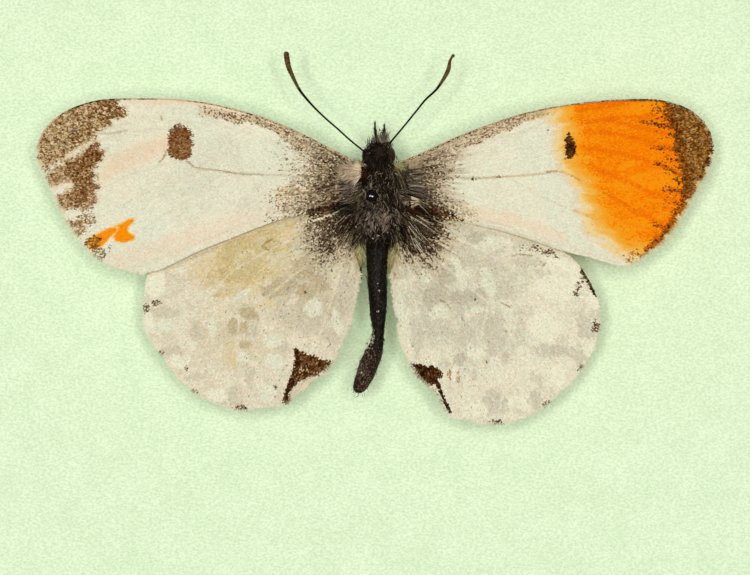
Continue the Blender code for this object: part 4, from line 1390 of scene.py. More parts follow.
LEFT_ANTENNA = [
    (-0.68, 5.7, 16.9, 0.062), (-0.87, 5.87, 16.92, 0.06), (-1.67, 6.53, 16.85, 0.06),
    (-2.5, 7.28, 16.8, 0.06), (-3.33, 8.0, 16.85, 0.062), (-4.2, 8.86, 16.9, 0.07),
    (-5.0, 9.83, 17.0, 0.09), (-5.47, 10.73, 17.1, 0.13), (-5.75, 11.4, 17.15, 0.17),
    (-5.87, 12.0, 17.2, 0.185), (-5.9, 12.3, 17.2, 0.17), (-5.9, 12.4, 17.2, 0.09),
]
RIGHT_ANTENNA = [
    (1.0, 6.2, 16.45, 0.062), (1.1, 6.45, 16.5, 0.06), (1.58, 7.03, 16.6, 0.06), (2.0, 7.53, 16.7, 0.06),
    (2.79, 8.5, 16.8, 0.062), (3.36, 9.2, 16.9, 0.07), (4.07, 9.87, 17.0, 0.08), (4.53, 10.53, 17.1, 0.115),
    (4.87, 11.17, 17.15, 0.145), (4.98, 11.73, 17.2, 0.10), (5.1, 12.0, 17.22, 0.085),
    (5.22, 12.14, 17.25, 0.115), (5.27, 12.2, 17.25, 0.05),
]
ABDOMEN = [
    (0.17, -0.35, 16.0, 0.70), (0.15, -1.0, 16.0, 0.68), (0.15, -1.8, 15.95, 0.64),
    (0.15, -2.8, 15.9, 0.60), (0.2, -4.1, 15.85, 0.57), (0.2, -4.9, 15.8, 0.52), (0.23, -5.6, 15.75, 0.42),
    (0.2, -6.3, 15.7, 0.37), (0.13, -7.0, 15.65, 0.42), (-0.1, -7.75, 15.6, 0.54),
    (-0.35, -8.3, 15.55, 0.59), (-0.66, -9.1, 15.5, 0.56), (-0.93, -9.75, 15.45, 0.47),
    (-1.06, -10.1, 15.4, 0.37), (-1.1, -10.35, 15.4, 0.17),
]
LEFT_PALP = [
    (0.08, 6.6, 15.9, 0.11), (0.04, 7.0, 16.0, 0.09), (0.0, 7.4, 16.15, 0.06), (-0.02, 7.7, 16.3, 0.025),
]
RIGHT_PALP = [
    (0.6, 6.6, 15.9, 0.11), (0.62, 7.0, 16.0, 0.1), (0.62, 7.3, 16.15, 0.07), (0.6, 7.5, 16.3, 0.03),
]
LEGS = {
    "foreleg": [
        (-0.35, 3.6, 14.3, 0.12), (-1.1, 3.9, 13.6, 0.1), (-0.9, 2.6, 13.0, 0.08), (-0.6, 1.2, 12.9, 0.05),
    ],
    "midleg": [
        (-0.45, 2.2, 13.9, 0.12), (-1.6, 1.9, 13.4, 0.1), (-1.0, 0.6, 12.9, 0.08), (-0.8, -0.8, 12.8, 0.05),
    ],
    "hindleg": [
        (-0.4, 0.9, 14.1, 0.12), (-1.5, 0.2, 13.6, 0.1), (-1.0, -1.3, 13.1, 0.08), (-0.9, -2.8, 13.0, 0.05),
    ],
}
THORAX = ((MIDLINE_X, 2.2, 16.2), (1.22, 2.4, 1.7))
HEAD = ((0.25, 5.62, 16.1), (0.5, 0.8, 0.74))
NECK = ((0.25, 4.95, 16.1), (1.0, 0.75, 0.78))
AXILLAE = {
    "left_axilla": ((-1.05, 3.4, 16.5), (0.7, 1.5, 0.3)),
    "right_axilla": ((1.75, 2.3, 16.45), (0.8, 1.4, 0.3)),
}
LEFT_TEGULA, RIGHT_TEGULA = (-1.72, 4.45, 17.4), (1.75, 4.4, 17.4)
TEGULA_RADII = (0.4, 0.48, 0.15)
EYES = {"left_eye": (-0.63, 5.5, 16.1), "right_eye": (1.13, 5.5, 16.1)}
EYE_RADII = (0.24, 0.5, 0.5)
COIL_X, COIL_Y, COIL_Z = 0.3, 6.0, 14.5  # middle of the rolled proboscis
COIL_TURNS = 2.6
COIL_RADIUS, COIL_THICK = 0.42, 0.075
# From the head down to the coil, as (y, z).
COIL_ARM = [(6.15, 15.75), (6.36, 15.2), (6.43, 14.8), (COIL_Y + COIL_RADIUS, COIL_Z)]
HIP = (0.1, 0.0, 1.2, 0.05)  # from a leg's first joint up into the thorax, and how much thicker it is there


def tube(route, count, sides, shape=None):
    """A loft along a smooth route of (x, y, z, radius)."""
    fine = through(route, count)
    return loft(np.column_stack([fine, fine[:, 3]]), sides, shape)


THORAX_SPECKS = [(378, 236), (356, 227), (368, 230), (395, 225), (364, 191), (372, 238), (388, 232)]
# Places of tiny pale hairs on the abdomen that stand in for its small glossy highlights: painted highlights.
TAIL_HIGHLIGHTS = [(377.5, 283), (378, 311), (362, 372), (379, 290)]


# Tufts are (pixel place, spread, height, count, heading, fan, length, rise, tones, thickness, drop).
THORAX_TUFTS = [
    ((386, 219), (2.5, 4), 17.8, 100, 235, 20, (0.25, 0.5), 0.08, MAUVE_FUR, 0.026),
    ((376, 216), (5, 7), 17.9, 90, 255, 30, (0.2, 0.45), 0.1, MAUVE_FUR, 0.022),
    ((372, 225), (4, 5), 17.65, 70, 256, 26, (0.2, 0.42), 0.1, MAUVE_FUR, 0.024),
    ((378, 192), (8, 12), 17.95, 60, 265, 40, (0.2, 0.45), 0.1, GREY_FUR, 0.022),
    ((384, 206), (7, 8), 17.9, 60, 262, 30, (0.2, 0.4), 0.1, OLIVE_FUR, 0.022),
    ((382, 180), (7, 8), 17.95, 90, 265, 30, (0.2, 0.4), 0.1, GREEN_FUR, 0.028),
    ((386, 196), (6, 8), 17.95, 70, 265, 30, (0.2, 0.4), 0.1, GREEN_FUR, 0.028),
    ((365, 172.5), (1.9, 2.5), 17.6, 130, 262, 12, (0.5, 1.0), 0.1, RUSSET_FUR, 0.03),
    ((371, 182), (0.7, 2), 18.0, 12, 268, 5, (0.3, 0.55), 0.1, GREY_FUR, 0.026),
    ((382, 173), (2, 0.8), 17.8, 10, 205, 10, (0.2, 0.36), 0.15, MAUVE_FUR, 0.022),
    ((364, 165), (1, 1), 17.2, 12, 325, 18, (0.2, 0.32), 0.2, GREY_FUR, 0.024),
    # The collar that closes the neck, and the shoulders.
    ((380, 168), (9, 2.5), 17.1, 260, 262, 26, (0.35, 0.6), 0.25, BLACK_FUR, 0.028),
    ((379, 164), (10, 2.5), 16.9, 200, 266, 14, (0.3, 0.5), 0.2, BLACK_FUR, 0.028),
    ((391, 170), (3, 3), 17.1, 110, 285, 14, (0.4, 0.8), 0.1, DARK_FUR, 0.026),
    ((365, 180), (2.5, 6), 17.2, 130, 250, 22, (0.3, 0.6), 0.1, DARK_FUR, 0.026),
    ((398, 184), (3, 9), 17.25, 220, 282, 16, (0.4, 0.8), 0.06, DARK_FUR, 0.028),
    ((400, 176), (2.5, 4), 17.5, 110, 290, 12, (0.4, 0.9), 0.06, BLACK_FUR, 0.028),
    ((399, 174), (1.6, 3), 17.6, 26, 290, 5, (1.0, 1.7), 0.04, OLIVE_FUR, 0.024, 0.2),
    ((359, 198), (2.5, 7), 17.2, 190, 236, 20, (0.35, 0.75), 0.04, BROWN_FUR, 0.026),
    # The rough dark fringe towards the hindwings and the abdomen.
    ((361, 222), (2.5, 9), 17.0, 130, 248, 16, (0.3, 0.7), 0.0, DARK_FUR, 0.028),
    ((396, 218), (2.5, 9), 17.0, 130, 290, 16, (0.3, 0.7), 0.0, DARK_FUR, 0.028),
    ((363, 226), (2.5, 8), 17.0, 90, 256, 14, (0.3, 0.6), 0.0, BROWN_FUR, 0.028),
    ((394, 222), (2.5, 8), 17.0, 90, 284, 14, (0.3, 0.6), 0.0, BLACK_FUR, 0.028),
    ((379, 238), (8, 5), 16.9, 220, 270, 18, (0.25, 0.5), -0.1, BLACK_FUR, 0.03),
    ((366, 234), (2.5, 4), 16.6, 70, 288, 14, (0.4, 0.9), -0.1, BLACK_FUR, 0.03),
    ((391, 234), (2.5, 4), 16.6, 70, 252, 14, (0.4, 0.9), -0.1, BLACK_FUR, 0.03),
    # Long olive hairs from the hindwings' inner margins, towards the abdomen.
    ((360, 245), (2.6, 6), 15.98, 560, 288, 12, (0.4, 0.85), -0.05, INNER_FUR, 0.034),
    ((391, 247), (2.2, 8), 15.98, 480, 252, 12, (0.4, 0.8), -0.05, INNER_FUR, 0.032),
    ((359, 230), (2, 6), 16.55, 30, 262, 10, (0.4, 0.8), -0.08, SALLOW_FUR, 0.022),
    ((396, 238), (2, 8), 16.55, 50, 270, 10, (0.4, 0.8), -0.08, SALLOW_FUR, 0.022),
]


def build_thorax():
    skin = clouded("dark_furred_skin", [(12, 8, 4), (40, 30, 20)], 0.25, 0.8, 0.05, 0.05)
    add_solid("thorax_skin", ball(*THORAX, 48, 40, wrinkles(0.12, 0.14, 5)), skin,
              ["thorax"])
    fur = Hairs(21)
    fur.over(THORAX, 3000, (0, -0.4, 0.1), 0.6, (0.2, 0.45), DARK_FUR, 0.028, part=lambda v: v[:, 2] > -0.2)
    fur.over(THORAX, 700, (0, -0.4, -0.5), 0.7, (0.35, 0.7), BLACK_FUR, 0.028, part=lambda v: v[:, 2] < -0.1)
    fur.over(THORAX, 420, (0.1, -0.5, 0.1), 0.6, (0.2, 0.4), BLACK_FUR, 0.03,
             part=lambda v: (v[:, 2] > 0.2) & (v[:, 0] > 0.1))
    fur.over(THORAX, 420, (-0.2, -0.5, 0.1), 0.6, (0.2, 0.4), BLACK_FUR, 0.03,
             part=lambda v: (v[:, 2] > 0.2) & (v[:, 1] < -0.5))
    fur.tufts(THORAX_TUFTS)
    for place in THORAX_SPECKS:
        fur.tuft(place, (0.3, 0.3), 17.5, 2, 290, 60, (0.08, 0.13), 0.1, PALE_FUR, 0.03)
    fur.piece("thorax_fur")


def faceted(name):
    """A compound eye: fine cells with dark joints."""
    mat, nodes, links, shader = node_finish(name, 0.4, 0.15)
    away = add_cells(nodes, links, EYE_CELLS)["Distance"]
    links.new(add_tones(nodes, links, away, [(64, 40, 22), (18, 10, 6)], 0.1, 0.7),
              shader.inputs["Base Color"])
    add_bump(nodes, links, shader, away, -0.008, 0.7)
    return mat


HEAD_TUFTS = [
    ((379, 163), (8, 4), 16.9, 320, 265, 22, (0.35, 0.6), 0.35, BLACK_FUR, 0.026),
    ((369, 157), (1.6, 6), 16.75, 110, 190, 40, (0.2, 0.34), 0.3, BLACK_FUR, 0.026),
    ((366, 156), (1.2, 5), 16.7, 34, 210, 40, (0.15, 0.26), 0.3, RUSSET_FUR, 0.028),
    ((385, 156), (2.5, 5), 16.75, 150, 278, 14, (0.2, 0.36), 0.3, BLACK_FUR, 0.028),
    ((389, 156), (1.8, 6), 16.7, 110, 268, 14, (0.16, 0.3), 0.2, WINE_FUR, 0.03),
    ((371, 146), (2, 2), 16.6, 60, 250, 24, (0.2, 0.36), 0.3, BLACK_FUR, 0.028),
    ((388, 146), (2, 2), 16.6, 60, 285, 24, (0.2, 0.36), 0.3, BROWN_FUR, 0.026),
    ((367, 164), (3, 2), 16.9, 60, 250, 24, (0.25, 0.5), 0.3, BLACK_FUR, 0.03),
    ((388, 145), (1.6, 1.6), 16.5, 34, 70, 24, (0.2, 0.36), 0.1, BROWN_FUR, 0.024),
    ((383, 142), (2.8, 1.8), 16.4, 60, 90, 13, (0.4, 0.85), 0.15, OLIVE_FUR, 0.02),
    ((382, 142), (2.2, 1.8), 16.45, 30, 88, 13, (0.4, 0.75), 0.15, GREY_FUR, 0.02),
    ((382, 140), (3, 1.5), 16.25, 26, 90, 15, (0.3, 0.7), 0.15, BLACK_FUR, 0.018),
    ((387, 138), (1.5, 1.5), 16.25, 20, 84, 14, (0.3, 0.6), 0.15, BROWN_FUR, 0.018),
    ((375, 141), (2, 2), 16.2, 30, 98, 16, (0.3, 0.55), 0.1, DARK_FUR, 0.02),
    ((380.5, 131), (1.2, 1.0), 16.2, 10, 60, 40, (0.2, 0.35), 0.2, BLACK_FUR, 0.024),
    ((370, 144), (1.5, 1.5), 16.4, 22, 110, 16, (0.2, 0.36), 0.1, DARK_FUR, 0.02),
]


def build_head():
    skin = clouded("head_skin", [(14, 10, 6), (50, 38, 26)], 0.2, 0.7, 0.2, 0.03)
    add_solid("head_skin", ball(*HEAD, shape=wrinkles(0.2, 0.12, 9)), skin, ["head"])
    for name, centre in EYES.items():
        add_solid(name + "_ball", ball(centre, EYE_RADII), faceted(name + "_facets"), [name])
    add_solid("neck_skin", ball(*NECK, shape=wrinkles(0.2, 0.12, 10)), skin)
    fur = Hairs(22)
    fur.over(HEAD, 700, (0, -0.2, 0.3), 0.8, (0.2, 0.42), BLACK_FUR, 0.026, part=lambda v: v[:, 2] > -0.3)
    fur.over(HEAD, 200, (0, 0.2, -0.4), 0.8, (0.2, 0.4), DARK_FUR, 0.024, part=lambda v: v[:, 2] < 0)
    fur.tufts(HEAD_TUFTS)
    fur.piece("head_fur")
    build_palps(skin)


def build_palps(skin):
    for name, route in (("left_palp", LEFT_PALP), ("right_palp", RIGHT_PALP)):
        add_solid(name + "_core", tube(route, 24, 12, wrinkles(0.1, 0.3, 7)), skin, [name])
        bristles = Hairs(23)
        for x, y, z, _ in through(route, 9)[:-1]:
            bristles.tuft(pixel_of(x, y), (0.7, 0.7), z, 8, 90, 20, (0.2, 0.34), 0.3, BLACK_FUR, 0.014, 0.0)
        bristles.piece(name + "_bristles")


def build_antennae():
    shaft = clouded("antenna_shaft", [(8, 5, 1), (40, 28, 12)], 0.12, 0.6, 0.05, 0.01, 2.0)
    club = clouded("antenna_club", [(52, 34, 12), (118, 88, 50)], 0.2, 0.7, 0.05, 0.015, 3.0)
    rings = 44

    def ringed(along, around):
        return 1 + 0.09 * np.cos(2 * math.pi * rings * along) + 0 * around

    for name, route in (("left_antenna", LEFT_ANTENNA), ("right_antenna", RIGHT_ANTENNA)):
        points, faces, share = tube(route, rings * 5, 12, ringed)
        mesh = mesh_of(name + "_rings", points, faces, share > 0.7)
        add_piece(name + "_rings", mesh, [shaft, club], [name])


ABDOMEN_TUFTS = [
    ((368.5, 353), (1.0, 5), 15.9, 26, 222, 20, (0.12, 0.24), 0.1, DARK_FUR, 0.036),
    ((369, 350), (1.5, 8), 16.0, 22, 240, 40, (0.08, 0.16), 0.1, PALE_FUR, 0.034),
    ((373, 337), (1.2, 5), 16.1, 26, 262, 24, (0.1, 0.2), 0.1, PALE_FUR, 0.028),
    ((362, 373), (2.4, 7), 16.05, 60, 250, 60, (0.08, 0.16), 0.3, GREY_FUR, 0.026),
    ((361, 380), (2.4, 5), 16.0, 40, 250, 60, (0.08, 0.16), 0.3, RUSSET_FUR, 0.03),
    ((375, 353), (2.2, 8), 16.1, 80, 250, 30, (0.15, 0.3), 0.1, BLACK_FUR, 0.026),
    ((359, 389), (3.2, 1.2), 15.5, 40, 250, 20, (0.12, 0.22), 0, BROWN_FUR, 0.02),
]


def build_abdomen():
    dark = clouded("abdomen_skin", [(3, 2, 1), (13, 9, 6), (60, 52, 40)], 0.12, 0.45, 0.1, 0.06)
    tail = clouded("abdomen_tail", [(8, 3, 1), (30, 17, 8), (140, 112, 86)], 0.1, 0.5, 0.12, 0.08)
    creased = wrinkles(0.05, 0.16, 15)
    segments = 9

    def shape(along, around):
        step = 0.035 * np.abs(np.sin(math.pi * segments * along)) ** 0.6
        return (1 + step + 0.05 * np.cos(2 * around)) * creased(along, around)

    points, faces, share = tube(ABDOMEN, 150, 36, shape)
    row = pixel_of(points[faces[:, 0], 0], points[faces[:, 0], 1])[1]
    mesh = mesh_of("abdomen_segments", points, faces, row > 345 + 30 * (noise(400 * share, row, 5, 4) - 0.5))
    add_piece("abdomen_segments", mesh, [dark, tail], ["abdomen"])
    fur = Hairs(24)
    for x, y, z, radius in through(ABDOMEN, 44)[1:-1]:
        c, r = pixel_of(x, y)
        lean = 270 - 22 * soft(330, 360, r)
        tones = BLACK_FUR if r < 340 else RUSSET_FUR
        edge = (radius + 0.02) * PIXELS_PER_MM
        fur.tuft((c, r), (0.45 * edge, 3), z + 0.92 * radius, 12, lean, 16, (0.18, 0.34), -0.05, tones,
                 0.02, 0.03)
        fur.tuft((c - 0.9 * edge, r), (0.5, 3), z, 5, lean - 14, 14, (0.14, 0.26), 0, tones, 0.018, 0.0)
        fur.tuft((c + 0.9 * edge, r), (0.5, 3), z, 5, lean + 14, 14, (0.14, 0.26), 0, tones, 0.018, 0.0)
    fur.tufts(ABDOMEN_TUFTS)
    # Painted highlights: tiny pale hairs where the abdomen shows small glints.
    for place in TAIL_HIGHLIGHTS:
        fur.tuft(place, (0.5, 0.5), 16.45, 4, 270, 50, (0.07, 0.1), 0.2, PALE_FUR, 0.034)
    fur.piece("abdomen_hairs")


def build_legs():
    mat = clouded("leg_skin", [(30, 20, 12), (74, 56, 38)], 0.2, 0.5, 0.3, 0.01)
    for leg, route in LEGS.items():
        for side in ("left_", "right_"):
            known = np.array([np.add(route[0], HIP), *route])
            if side == "right_":
                known[:, 0] = 2 * MIDLINE_X - known[:, 0]
            points, faces = [], []
            for a, b in zip(known, known[1:]):
                t = np.linspace(0, 1, 14)[:, None]
                joint = a * (1 - t) + b * t
                joint[:, 3] *= 0.85 + 0.2 * np.sin(math.pi * t[:, 0] ** 0.7)
                p, f, _ = loft(np.column_stack([joint, joint[:, 3]]), 10)
                faces.append(f + sum(map(len, points)))
                points.append(p)
            name = side + leg
            mesh = mesh_of(name + "_joints", np.vstack(points), np.vstack(faces))
            add_piece(name + "_joints", mesh, [mat], [name])


def build_proboscis():
    mat = clouded("proboscis_skin", [(26, 18, 10), (80, 58, 36)], 0.1, 0.45, 0.3, 0.01)
    sides = 12
    a = np.linspace(0, 2 * math.pi * COIL_TURNS, 150)
    radius = COIL_RADIUS - 0.3 * a / a[-1]
    arm = through([(COIL_X, y, z) for y, z in COIL_ARM], 24)[:-1]
    thick = np.append(np.full(len(arm), COIL_THICK), COIL_THICK - 0.04 * a / a[-1])
    turns = np.stack([COIL_X + 0 * a, COIL_Y + radius * np.cos(a), COIL_Z - radius * np.sin(a)], 1)
    centre = np.vstack([arm, turns])
    steps = len(centre)
    tangent = unit(np.gradient(centre, axis=0))
    side = np.tile([1.0, 0, 0], (steps, 1))
    up = np.cross(tangent, side)
    around = np.linspace(0, 2 * math.pi, sides, endpoint=False)
    ring = np.cos(around)[None, :, None] * side[:, None] + np.sin(around)[None, :, None] * up[:, None]
    points = (centre[:, None] + ring * thick[:, None, None]).reshape(-1, 3)
    faces = np.stack(round_corners(steps, sides), -1).reshape(-1, 4)
    add_solid("proboscis_coil", (points, faces), mat, ["proboscis"])


def build_tegulae():
    """The pads that cover the forewings' joints, and the skin between the thorax and the wings."""
    pale = clouded("left_tegula_skin", [(92, 72, 50), (176, 150, 120)], 0.16, 0.7, 0.05, 0.04)
    dark = clouded("right_tegula_skin", [(34, 26, 14), (104, 92, 62)], 0.12, 0.7, 0.05, 0.04)
    for name, centre, mat, slot in (("left_tegula", LEFT_TEGULA, pale, "cream_tuft"),
                                    ("right_tegula", RIGHT_TEGULA, dark, "grey_brown_fur")):
        pad = ball(centre, TEGULA_RADII, shape=wrinkles(0.2, 0.25, 11))
        add_solid(name + "_pad", pad, mat, [name])
    for name, axilla in AXILLAE.items():
        skin = clouded(name + "_skin", [(16, 10, 6), (56, 42, 28)], 0.2, 0.8, 0.05, 0.04)
        add_solid(name, ball(*axilla, shape=wrinkles(0.2, 0.2, 12)), skin)


FAN_RAYS, FAN_FIRST, FAN_STEP = 12, 226, 8  # how many, the first one's heading, and degrees to the next
FAN_FOOT = (360, 177)


LEFT_TUFTS = [
    ((361, 165), (1.6, 1.4), 17.5, 46, 156, 14, (0.35, 0.65), 0.0, SALLOW_FUR, 0.022),
    ((340, 174), (2.4, 8), 17.5, 10, 184, 22, (0.3, 0.6), -0.02, BROWN_FUR, 0.018),
]


def build_left_wing_tuft():
    """The fan of cream hairs over the left forewing's joint."""
    tuft = Hairs(31)
    column, row = FAN_FOOT
    for k in range(FAN_RAYS):
        heading = FAN_FIRST - FAN_STEP * k
        long = (0.5, 1.55 - 0.075 * k)
        tuft.tuft((column, row - k), (0.9, 0.7), 17.62, 12, heading, 9, long, 0.01, CREAM_FUR, 0.028)
        tuft.tuft((column - 9, row - 0.5 - k), (5, 0.9), 17.6, 12, heading, 9, (0.4, 0.9), 0.0, CREAM_FUR,
                  0.022)
    tuft.tufts(LEFT_TUFTS)
    tuft.piece("left_wing_tuft")


# The pale brush on the right forewing's root: first row, step, column, and its tip as (columns out, row).
BRUSH_HAIRS, BRUSH_ROW, BRUSH_STEP, BRUSH_COLUMN, BRUSH_TIP = 9, 197.4, 1.25, 411.5, (12, 202)


LEFT_ROOT_TUFTS = [
    ((353, 190), (4, 6), 17.35, 60, 196, 12, (0.5, 1.3), 0.0, GREY_FUR, 0.024),
    ((354, 186), (4, 8), 17.35, 70, 194, 14, (0.5, 1.2), 0.0, BROWN_FUR, 0.026),
    ((352, 205), (4, 3), 17.3, 60, 206, 8, (0.6, 1.8), 0.0, BLACK_FUR, 0.028),
    ((354, 200), (4, 3), 17.3, 24, 203, 9, (0.6, 1.6), 0.0, OLIVE_FUR, 0.024),
    ((355, 216), (3.5, 5), 16.75, 44, 224, 14, (0.6, 2.0), 0.0, RUSSET_FUR, 0.024),
    ((355, 222), (3.5, 7), 16.65, 60, 234, 16, (0.6, 2.0), 0.0, BROWN_FUR, 0.024),
    ((352, 222), (4, 8), 16.65, 12, 230, 13, (0.8, 2.4), 0.0, PALE_FUR, 0.016),
    ((358, 230), (2, 6), 16.6, 40, 252, 10, (0.5, 1.4), 0.0, RUSSET_FUR, 0.028),
]
RIGHT_ROOT_TUFTS = [
    ((398, 166), (3, 2.5), 17.6, 90, 335, 24, (0.3, 0.6), 0.02, SALLOW_FUR, 0.024),
    ((402, 174), (3, 3), 17.6, 80, 320, 24, (0.3, 0.6), 0.02, BROWN_FUR, 0.024),
    ((404, 180), (3, 6), 17.35, 46, 2, 12, (0.6, 2.2), 0.0, GREY_FUR, 0.02),
    ((404, 182), (3, 7), 17.35, 60, 0, 14, (0.5, 1.8), 0.0, BROWN_FUR, 0.024),
    ((405, 190), (3, 4), 17.35, 50, 344, 8, (0.8, 2.8), 0.0, GREY_FUR, 0.02),
    ((405, 192), (3, 4), 17.35, 50, 346, 10, (0.6, 1.8), 0.0, BLACK_FUR, 0.026),
    ((412, 206), (4, 2.5), 17.2, 60, 338, 8, (0.6, 2.0), 0.0, RUSSET_FUR, 0.028),
    ((402, 214), (3.5, 4), 16.75, 80, 310, 16, (0.8, 2.6), 0.0, RUSSET_FUR, 0.028),
    ((403, 216), (3.5, 4), 16.75, 60, 316, 17, (0.8, 2.8), 0.0, BROWN_FUR, 0.024),
    ((404, 216), (3, 3), 16.75, 12, 304, 6, (1.4, 2.8), 0.0, PALE_FUR, 0.022),
    ((418, 217), (4, 2), 16.65, 10, 330, 4, (1.0, 2.2), 0.0, PALE_FUR, 0.024),
    ((413, 238), (4, 4), 16.5, 12, 302, 6, (0.6, 1.4), 0.0, PALE_FUR, 0.022),
    ((400, 228), (2, 6), 16.6, 40, 290, 10, (0.5, 1.6), 0.0, RUSSET_FUR, 0.028),
]


def build_root_hairs():
    """Long hairs that spread from the thorax over the wings."""
    left = Hairs(32)
    left.tufts(LEFT_ROOT_TUFTS)
    left.piece("left_root_hairs")

    right = Hairs(33)
    right.tufts(RIGHT_ROOT_TUFTS)
    for k in range(BRUSH_HAIRS):
        row = BRUSH_ROW + BRUSH_STEP * k
        slope = math.degrees(math.atan2(row - BRUSH_TIP[1], BRUSH_TIP[0]))
        root, fine = (BRUSH_COLUMN, row), (0.5, 0.4)
        right.tuft(root, fine, 17.5, 3, slope, 3, (0.6, 0.84), 0.02, CREAM_FUR, 0.03, 0.06)
        right.tuft(root, fine, 17.5, 2, slope, 4, (0.5, 0.8), 0.02, SALLOW_FUR, 0.03, 0.06)
        root = (BRUSH_COLUMN - 1.5, row)
        right.tuft(root, (0.6, 0.5), 17.52, 1, slope, 8, (0.4, 0.7), 0.02, BROWN_FUR, 0.024, 0.06)
    right.piece("right_root_hairs")


# --------------------------------------------------------------------------------------------------
# Slab, paper and pin


def paper_finish():
    """Soft green lining paper: faint clouds, and a finer grain of fibres across them."""
    mat, nodes, links, shader = node_finish("green_lining_paper", 0.9, 0.08)
    tones = add_tones(nodes, links, add_noise(nodes, links, 2.2, 6.0), [(223, 243, 203), (230, 248, 210)])
    fibres = add_noise(nodes, links, 0.13, 2.0, (0.7, 1.0, 1.0), 12)
    grain = nodes.new("ShaderNodeMapRange")
    for socket, value in {"From Min": 0.3, "From Max": 0.7, "To Min": 0.87, "To Max": 1.11}.items():
        grain.inputs[socket].default_value = value
    links.new(fibres, grain.inputs["Value"])
    shaded(nodes, links, shader, tones, grain.outputs["Result"])
    add_bump(nodes, links, shader, fibres, 0.02, 0.3)
    return mat


def cork_finish():
    """Pressed cork: granules of uneven tone with darker joints, and dark flecks."""
    mat, nodes, links, shader = node_finish("cork_grain", 0.85, 0.1)
    granules = add_cells(nodes, links, CORK_CELLS)
    stops = [(118, 80, 48), (164, 120, 78), (188, 144, 98), (204, 164, 118)]
    tones = add_tones(nodes, links, granules["Color"], stops, 0.15, 0.85)
    flecks = add_noise(nodes, links, 0.25, 6.0)
    joints = add_math(nodes, links, "MULTIPLY_ADD", granules["Distance"], -0.45, flecks)
    shaded(nodes, links, shader, tones, add_math(nodes, links, "ADD", joints, 0.65))
    add_bump(nodes, links, shader, joints, 0.08, 0.8)
    return mat


SQUARENESS = 40  # of the glue film: an ellipse at 2, a rectangle if endless


def dress_slab():
    """Finishes for the slab's two nodes, and the film of glue that joins them."""
    NODES["lining_paper"].data.materials[0] = paper_finish()
    NODES["cork_block"].data.materials[0] = cork_finish()
    wide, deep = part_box("lining_paper")[1].xy / MM - Vector(GLUE_INSET)
    low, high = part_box("cork_block")[1].z / MM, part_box("lining_paper")[0].z / MM
    route = np.array([(0, -INSECT_Y, z, wide, deep) for z in (low, high)])

    def shape(along, around):
        cos, sin = np.cos(around), np.sin(around)
        oblong = (np.abs(cos) ** SQUARENESS + np.abs(sin) ** SQUARENESS) ** (-1 / SQUARENESS)
        return oblong * (1 + 0.004 * (noise(60 * cos, 60 * sin, 1.0, 8) - 0.5) + 0 * along)

    glue = clouded("dried_glue", [(196, 178, 132), (226, 212, 172)], 0.8, 0.6, 0.2, 0.03)
    add_solid("glue_film", loft(route, 320, shape), glue)


def dress_pin():
    steel = clouded("blackened_steel", [(34, 33, 32), (74, 70, 66)], 0.3, 0.3, 0.5, 0.004, 4.0, 0.8)
    NODES["pin_shaft"].data.materials[0] = steel
    top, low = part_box("pin_shaft")[1].z / MM, PIN_HEAD_Z - PIN_HEAD_R
    lower = [(top - 0.1, 0.19), (top - 0.03, 0.206), (top + 0.05, 0.2)]
    upper = [(low - 0.05, 0.2), (low + 0.03, 0.23), (low + 0.1, 0.2)]
    neck = np.array([(PIN_X, PIN_Y, z, r, r) for z, r in lower + upper])
    add_solid("pin_neck", loft(neck, 32), steel)
    enamel = clouded("black_enamel", [(40, 40, 42), (50, 50, 52)], 0.2, 0.2, 0.5, 0.0005, metallic=1.0)
    enamel.node_tree.nodes["Principled BSDF"].inputs["Specular Tint"].default_value = (0, 0, 0, 1)
    knob = ball((PIN_X, PIN_Y, PIN_HEAD_Z), (PIN_HEAD_R,) * 3, 48, 40)
    add_solid("pin_head_enamel", knob, enamel, ["pin_head"])


# --------------------------------------------------------------------------------------------------
# Stage, lights and camera

CAMERA_HEIGHT = 400.0  # over the wings
FRAME_WIDE = 50.0  # of the wing plane that the picture's width takes in
SUNS, SUN_SHARE, SUN_WIDE = 12, 0.86, 3.5  # how many, their share of the light, and how wide in degrees
TILT_SIDEWAYS, TILT_ALONG = 7.6, 6.8  # how far off the vertical the lamps at the sides and at the ends stand
SIDE_EXTRA = 0.4  # how much stronger than the mean the lamps at the two sides are
LEFT_EXTRA, FRONT_EXTRA = 0.18, 0.12  # and the lamps at the left, and beyond the head
STRAIGHT_SHARE = 0.12  # of the lamps' light that comes straight down, between the wings and the abdomen
GLINT_LAMPS = [(-38.0, 2.0), (15.0, -9.0)]  # degrees to the right of the vertical, and towards the antennae
GLINT_AWAY, GLINT_WIDE, GLINT_WATTS = 0.4, 0.12, 3.0


def tilted(right, forward):
    """The direction from the vertical by tangents of its slopes to the right and forwards."""
    return Vector((right, forward, 1)).normalized()


def add_lamp(name, kind, way, place):
    """A lamp at a place that shines from this direction."""
    obj = bpy.data.objects.new(name, bpy.data.lights.new(name, kind))
    bpy.context.scene.collection.objects.link(obj)
    obj.rotation_euler = way.to_track_quat("Z", "Y").to_euler()
    obj.location = place
    return obj


def add_sun(name, way, share):
    """A lamp in this direction that gives this share of the lamps' light on the level paper."""
    sun = add_lamp(name, "SUN", way, way * 0.5).data
    sun.energy = LIGHT * SUN_SHARE * math.pi * share / way.z
    sun.angle = math.radians(SUN_WIDE)


def build_floor():
    bpy.ops.mesh.primitive_plane_add(size=1.6, location=(0, 0, -0.0001))
    floor = bpy.context.object
    floor.name = "floor"
    pale = clouded("pale_floor", [(228, 226, 222), (236, 234, 230)], 30, 0.8, 0.1, 0.01)
    floor.data.materials.append(pale)


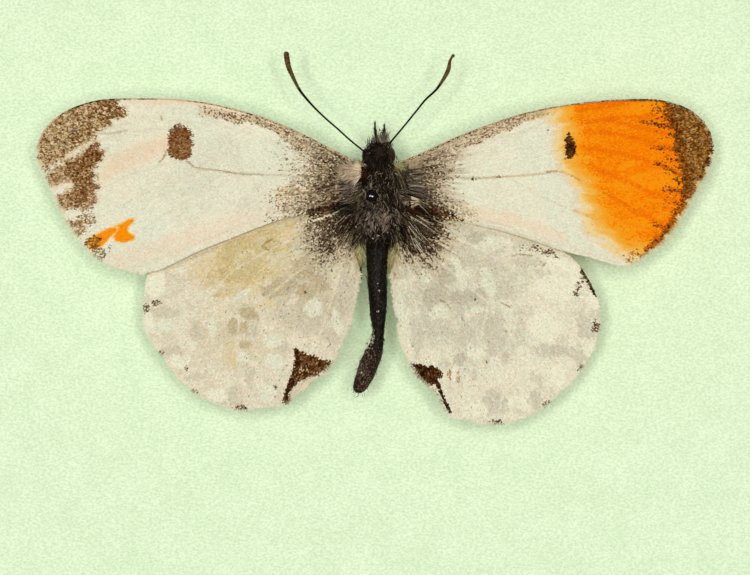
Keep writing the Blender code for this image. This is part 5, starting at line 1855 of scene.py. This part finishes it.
def build_world():
    """Even light from all round; the camera sees a slightly darker background."""
    world = bpy.data.worlds.new("studio")
    world.use_nodes = True
    bpy.context.scene.world = world
    nodes, links = world.node_tree.nodes, world.node_tree.links
    ray = nodes.new("ShaderNodeLightPath")
    shown = nodes.new("ShaderNodeBackground")
    shown.inputs["Color"].default_value = (0.86, 0.86, 0.85, 1)
    lit = nodes["Background"]
    lit.inputs["Color"].default_value = (1, 1, 1, 1)
    lit.inputs["Strength"].default_value = LIGHT * (1 - SUN_SHARE)
    mix = nodes.new("ShaderNodeMixShader")
    links.new(ray.outputs["Is Camera Ray"], mix.inputs["Fac"])
    links.new(lit.outputs[0], mix.inputs[1])
    links.new(shown.outputs[0], mix.inputs[2])
    links.new(mix.outputs[0], nodes["World Output"].inputs["Surface"])


def build_suns():
    """Soft sunlight from a ring of directions near the vertical, and some straight down."""
    add_sun("straight_light", Vector((0, 0, 1)), STRAIGHT_SHARE)
    for k in range(SUNS):
        turn = 2 * math.pi * k / SUNS
        way = tilted(math.tan(math.radians(TILT_SIDEWAYS)) * math.cos(turn),
                     math.tan(math.radians(TILT_ALONG)) * math.sin(turn))
        uneven = SIDE_EXTRA * math.cos(2 * turn) - LEFT_EXTRA * math.cos(turn) + FRONT_EXTRA * math.sin(turn)
        share = (1 - STRAIGHT_SHARE) / SUNS * (1 + uneven)
        add_sun(f"ring_light_{k}", way, share)


def build_glint_lamps():
    """Two small lamps that light the pin's glossy head alone, for its twin highlight."""
    lit = bpy.data.collections.new("lit_by_glint_lamps")
    lit.objects.link(bpy.data.objects["pin_head_enamel"])
    middle = NODES["pin_head"].matrix_world.translation
    for k, (right, forward) in enumerate(GLINT_LAMPS):
        way = tilted(math.tan(math.radians(right)), math.tan(math.radians(forward)))
        obj = add_lamp(f"glint_lamp_{k}", "AREA", way, middle + way * GLINT_AWAY)
        obj.data.shape, obj.data.size, obj.data.energy = "DISK", GLINT_WIDE, GLINT_WATTS
        obj.light_linking.receiver_collection = lit


def build_camera():
    cam = bpy.data.cameras.new("camera")
    cam.lens = cam.sensor_width * CAMERA_HEIGHT / FRAME_WIDE
    cam.clip_start, cam.clip_end = 0.01, 20.0
    obj = bpy.data.objects.new("camera", cam)
    bpy.context.scene.collection.objects.link(obj)
    obj.location = Vector((0, 0, WING_PLANE + CAMERA_HEIGHT)) * MM
    bpy.context.scene.camera = obj
    bpy.context.scene.view_settings.view_transform = "Standard"


build_floor()
build_world()
build_suns()
build_camera()
dress_slab()
dress_pin()
build_glint_lamps()
build_wings()
build_tegulae()
build_left_wing_tuft()
build_root_hairs()
build_thorax()
build_head()
build_antennae()
build_abdomen()
build_legs()
build_proboscis()
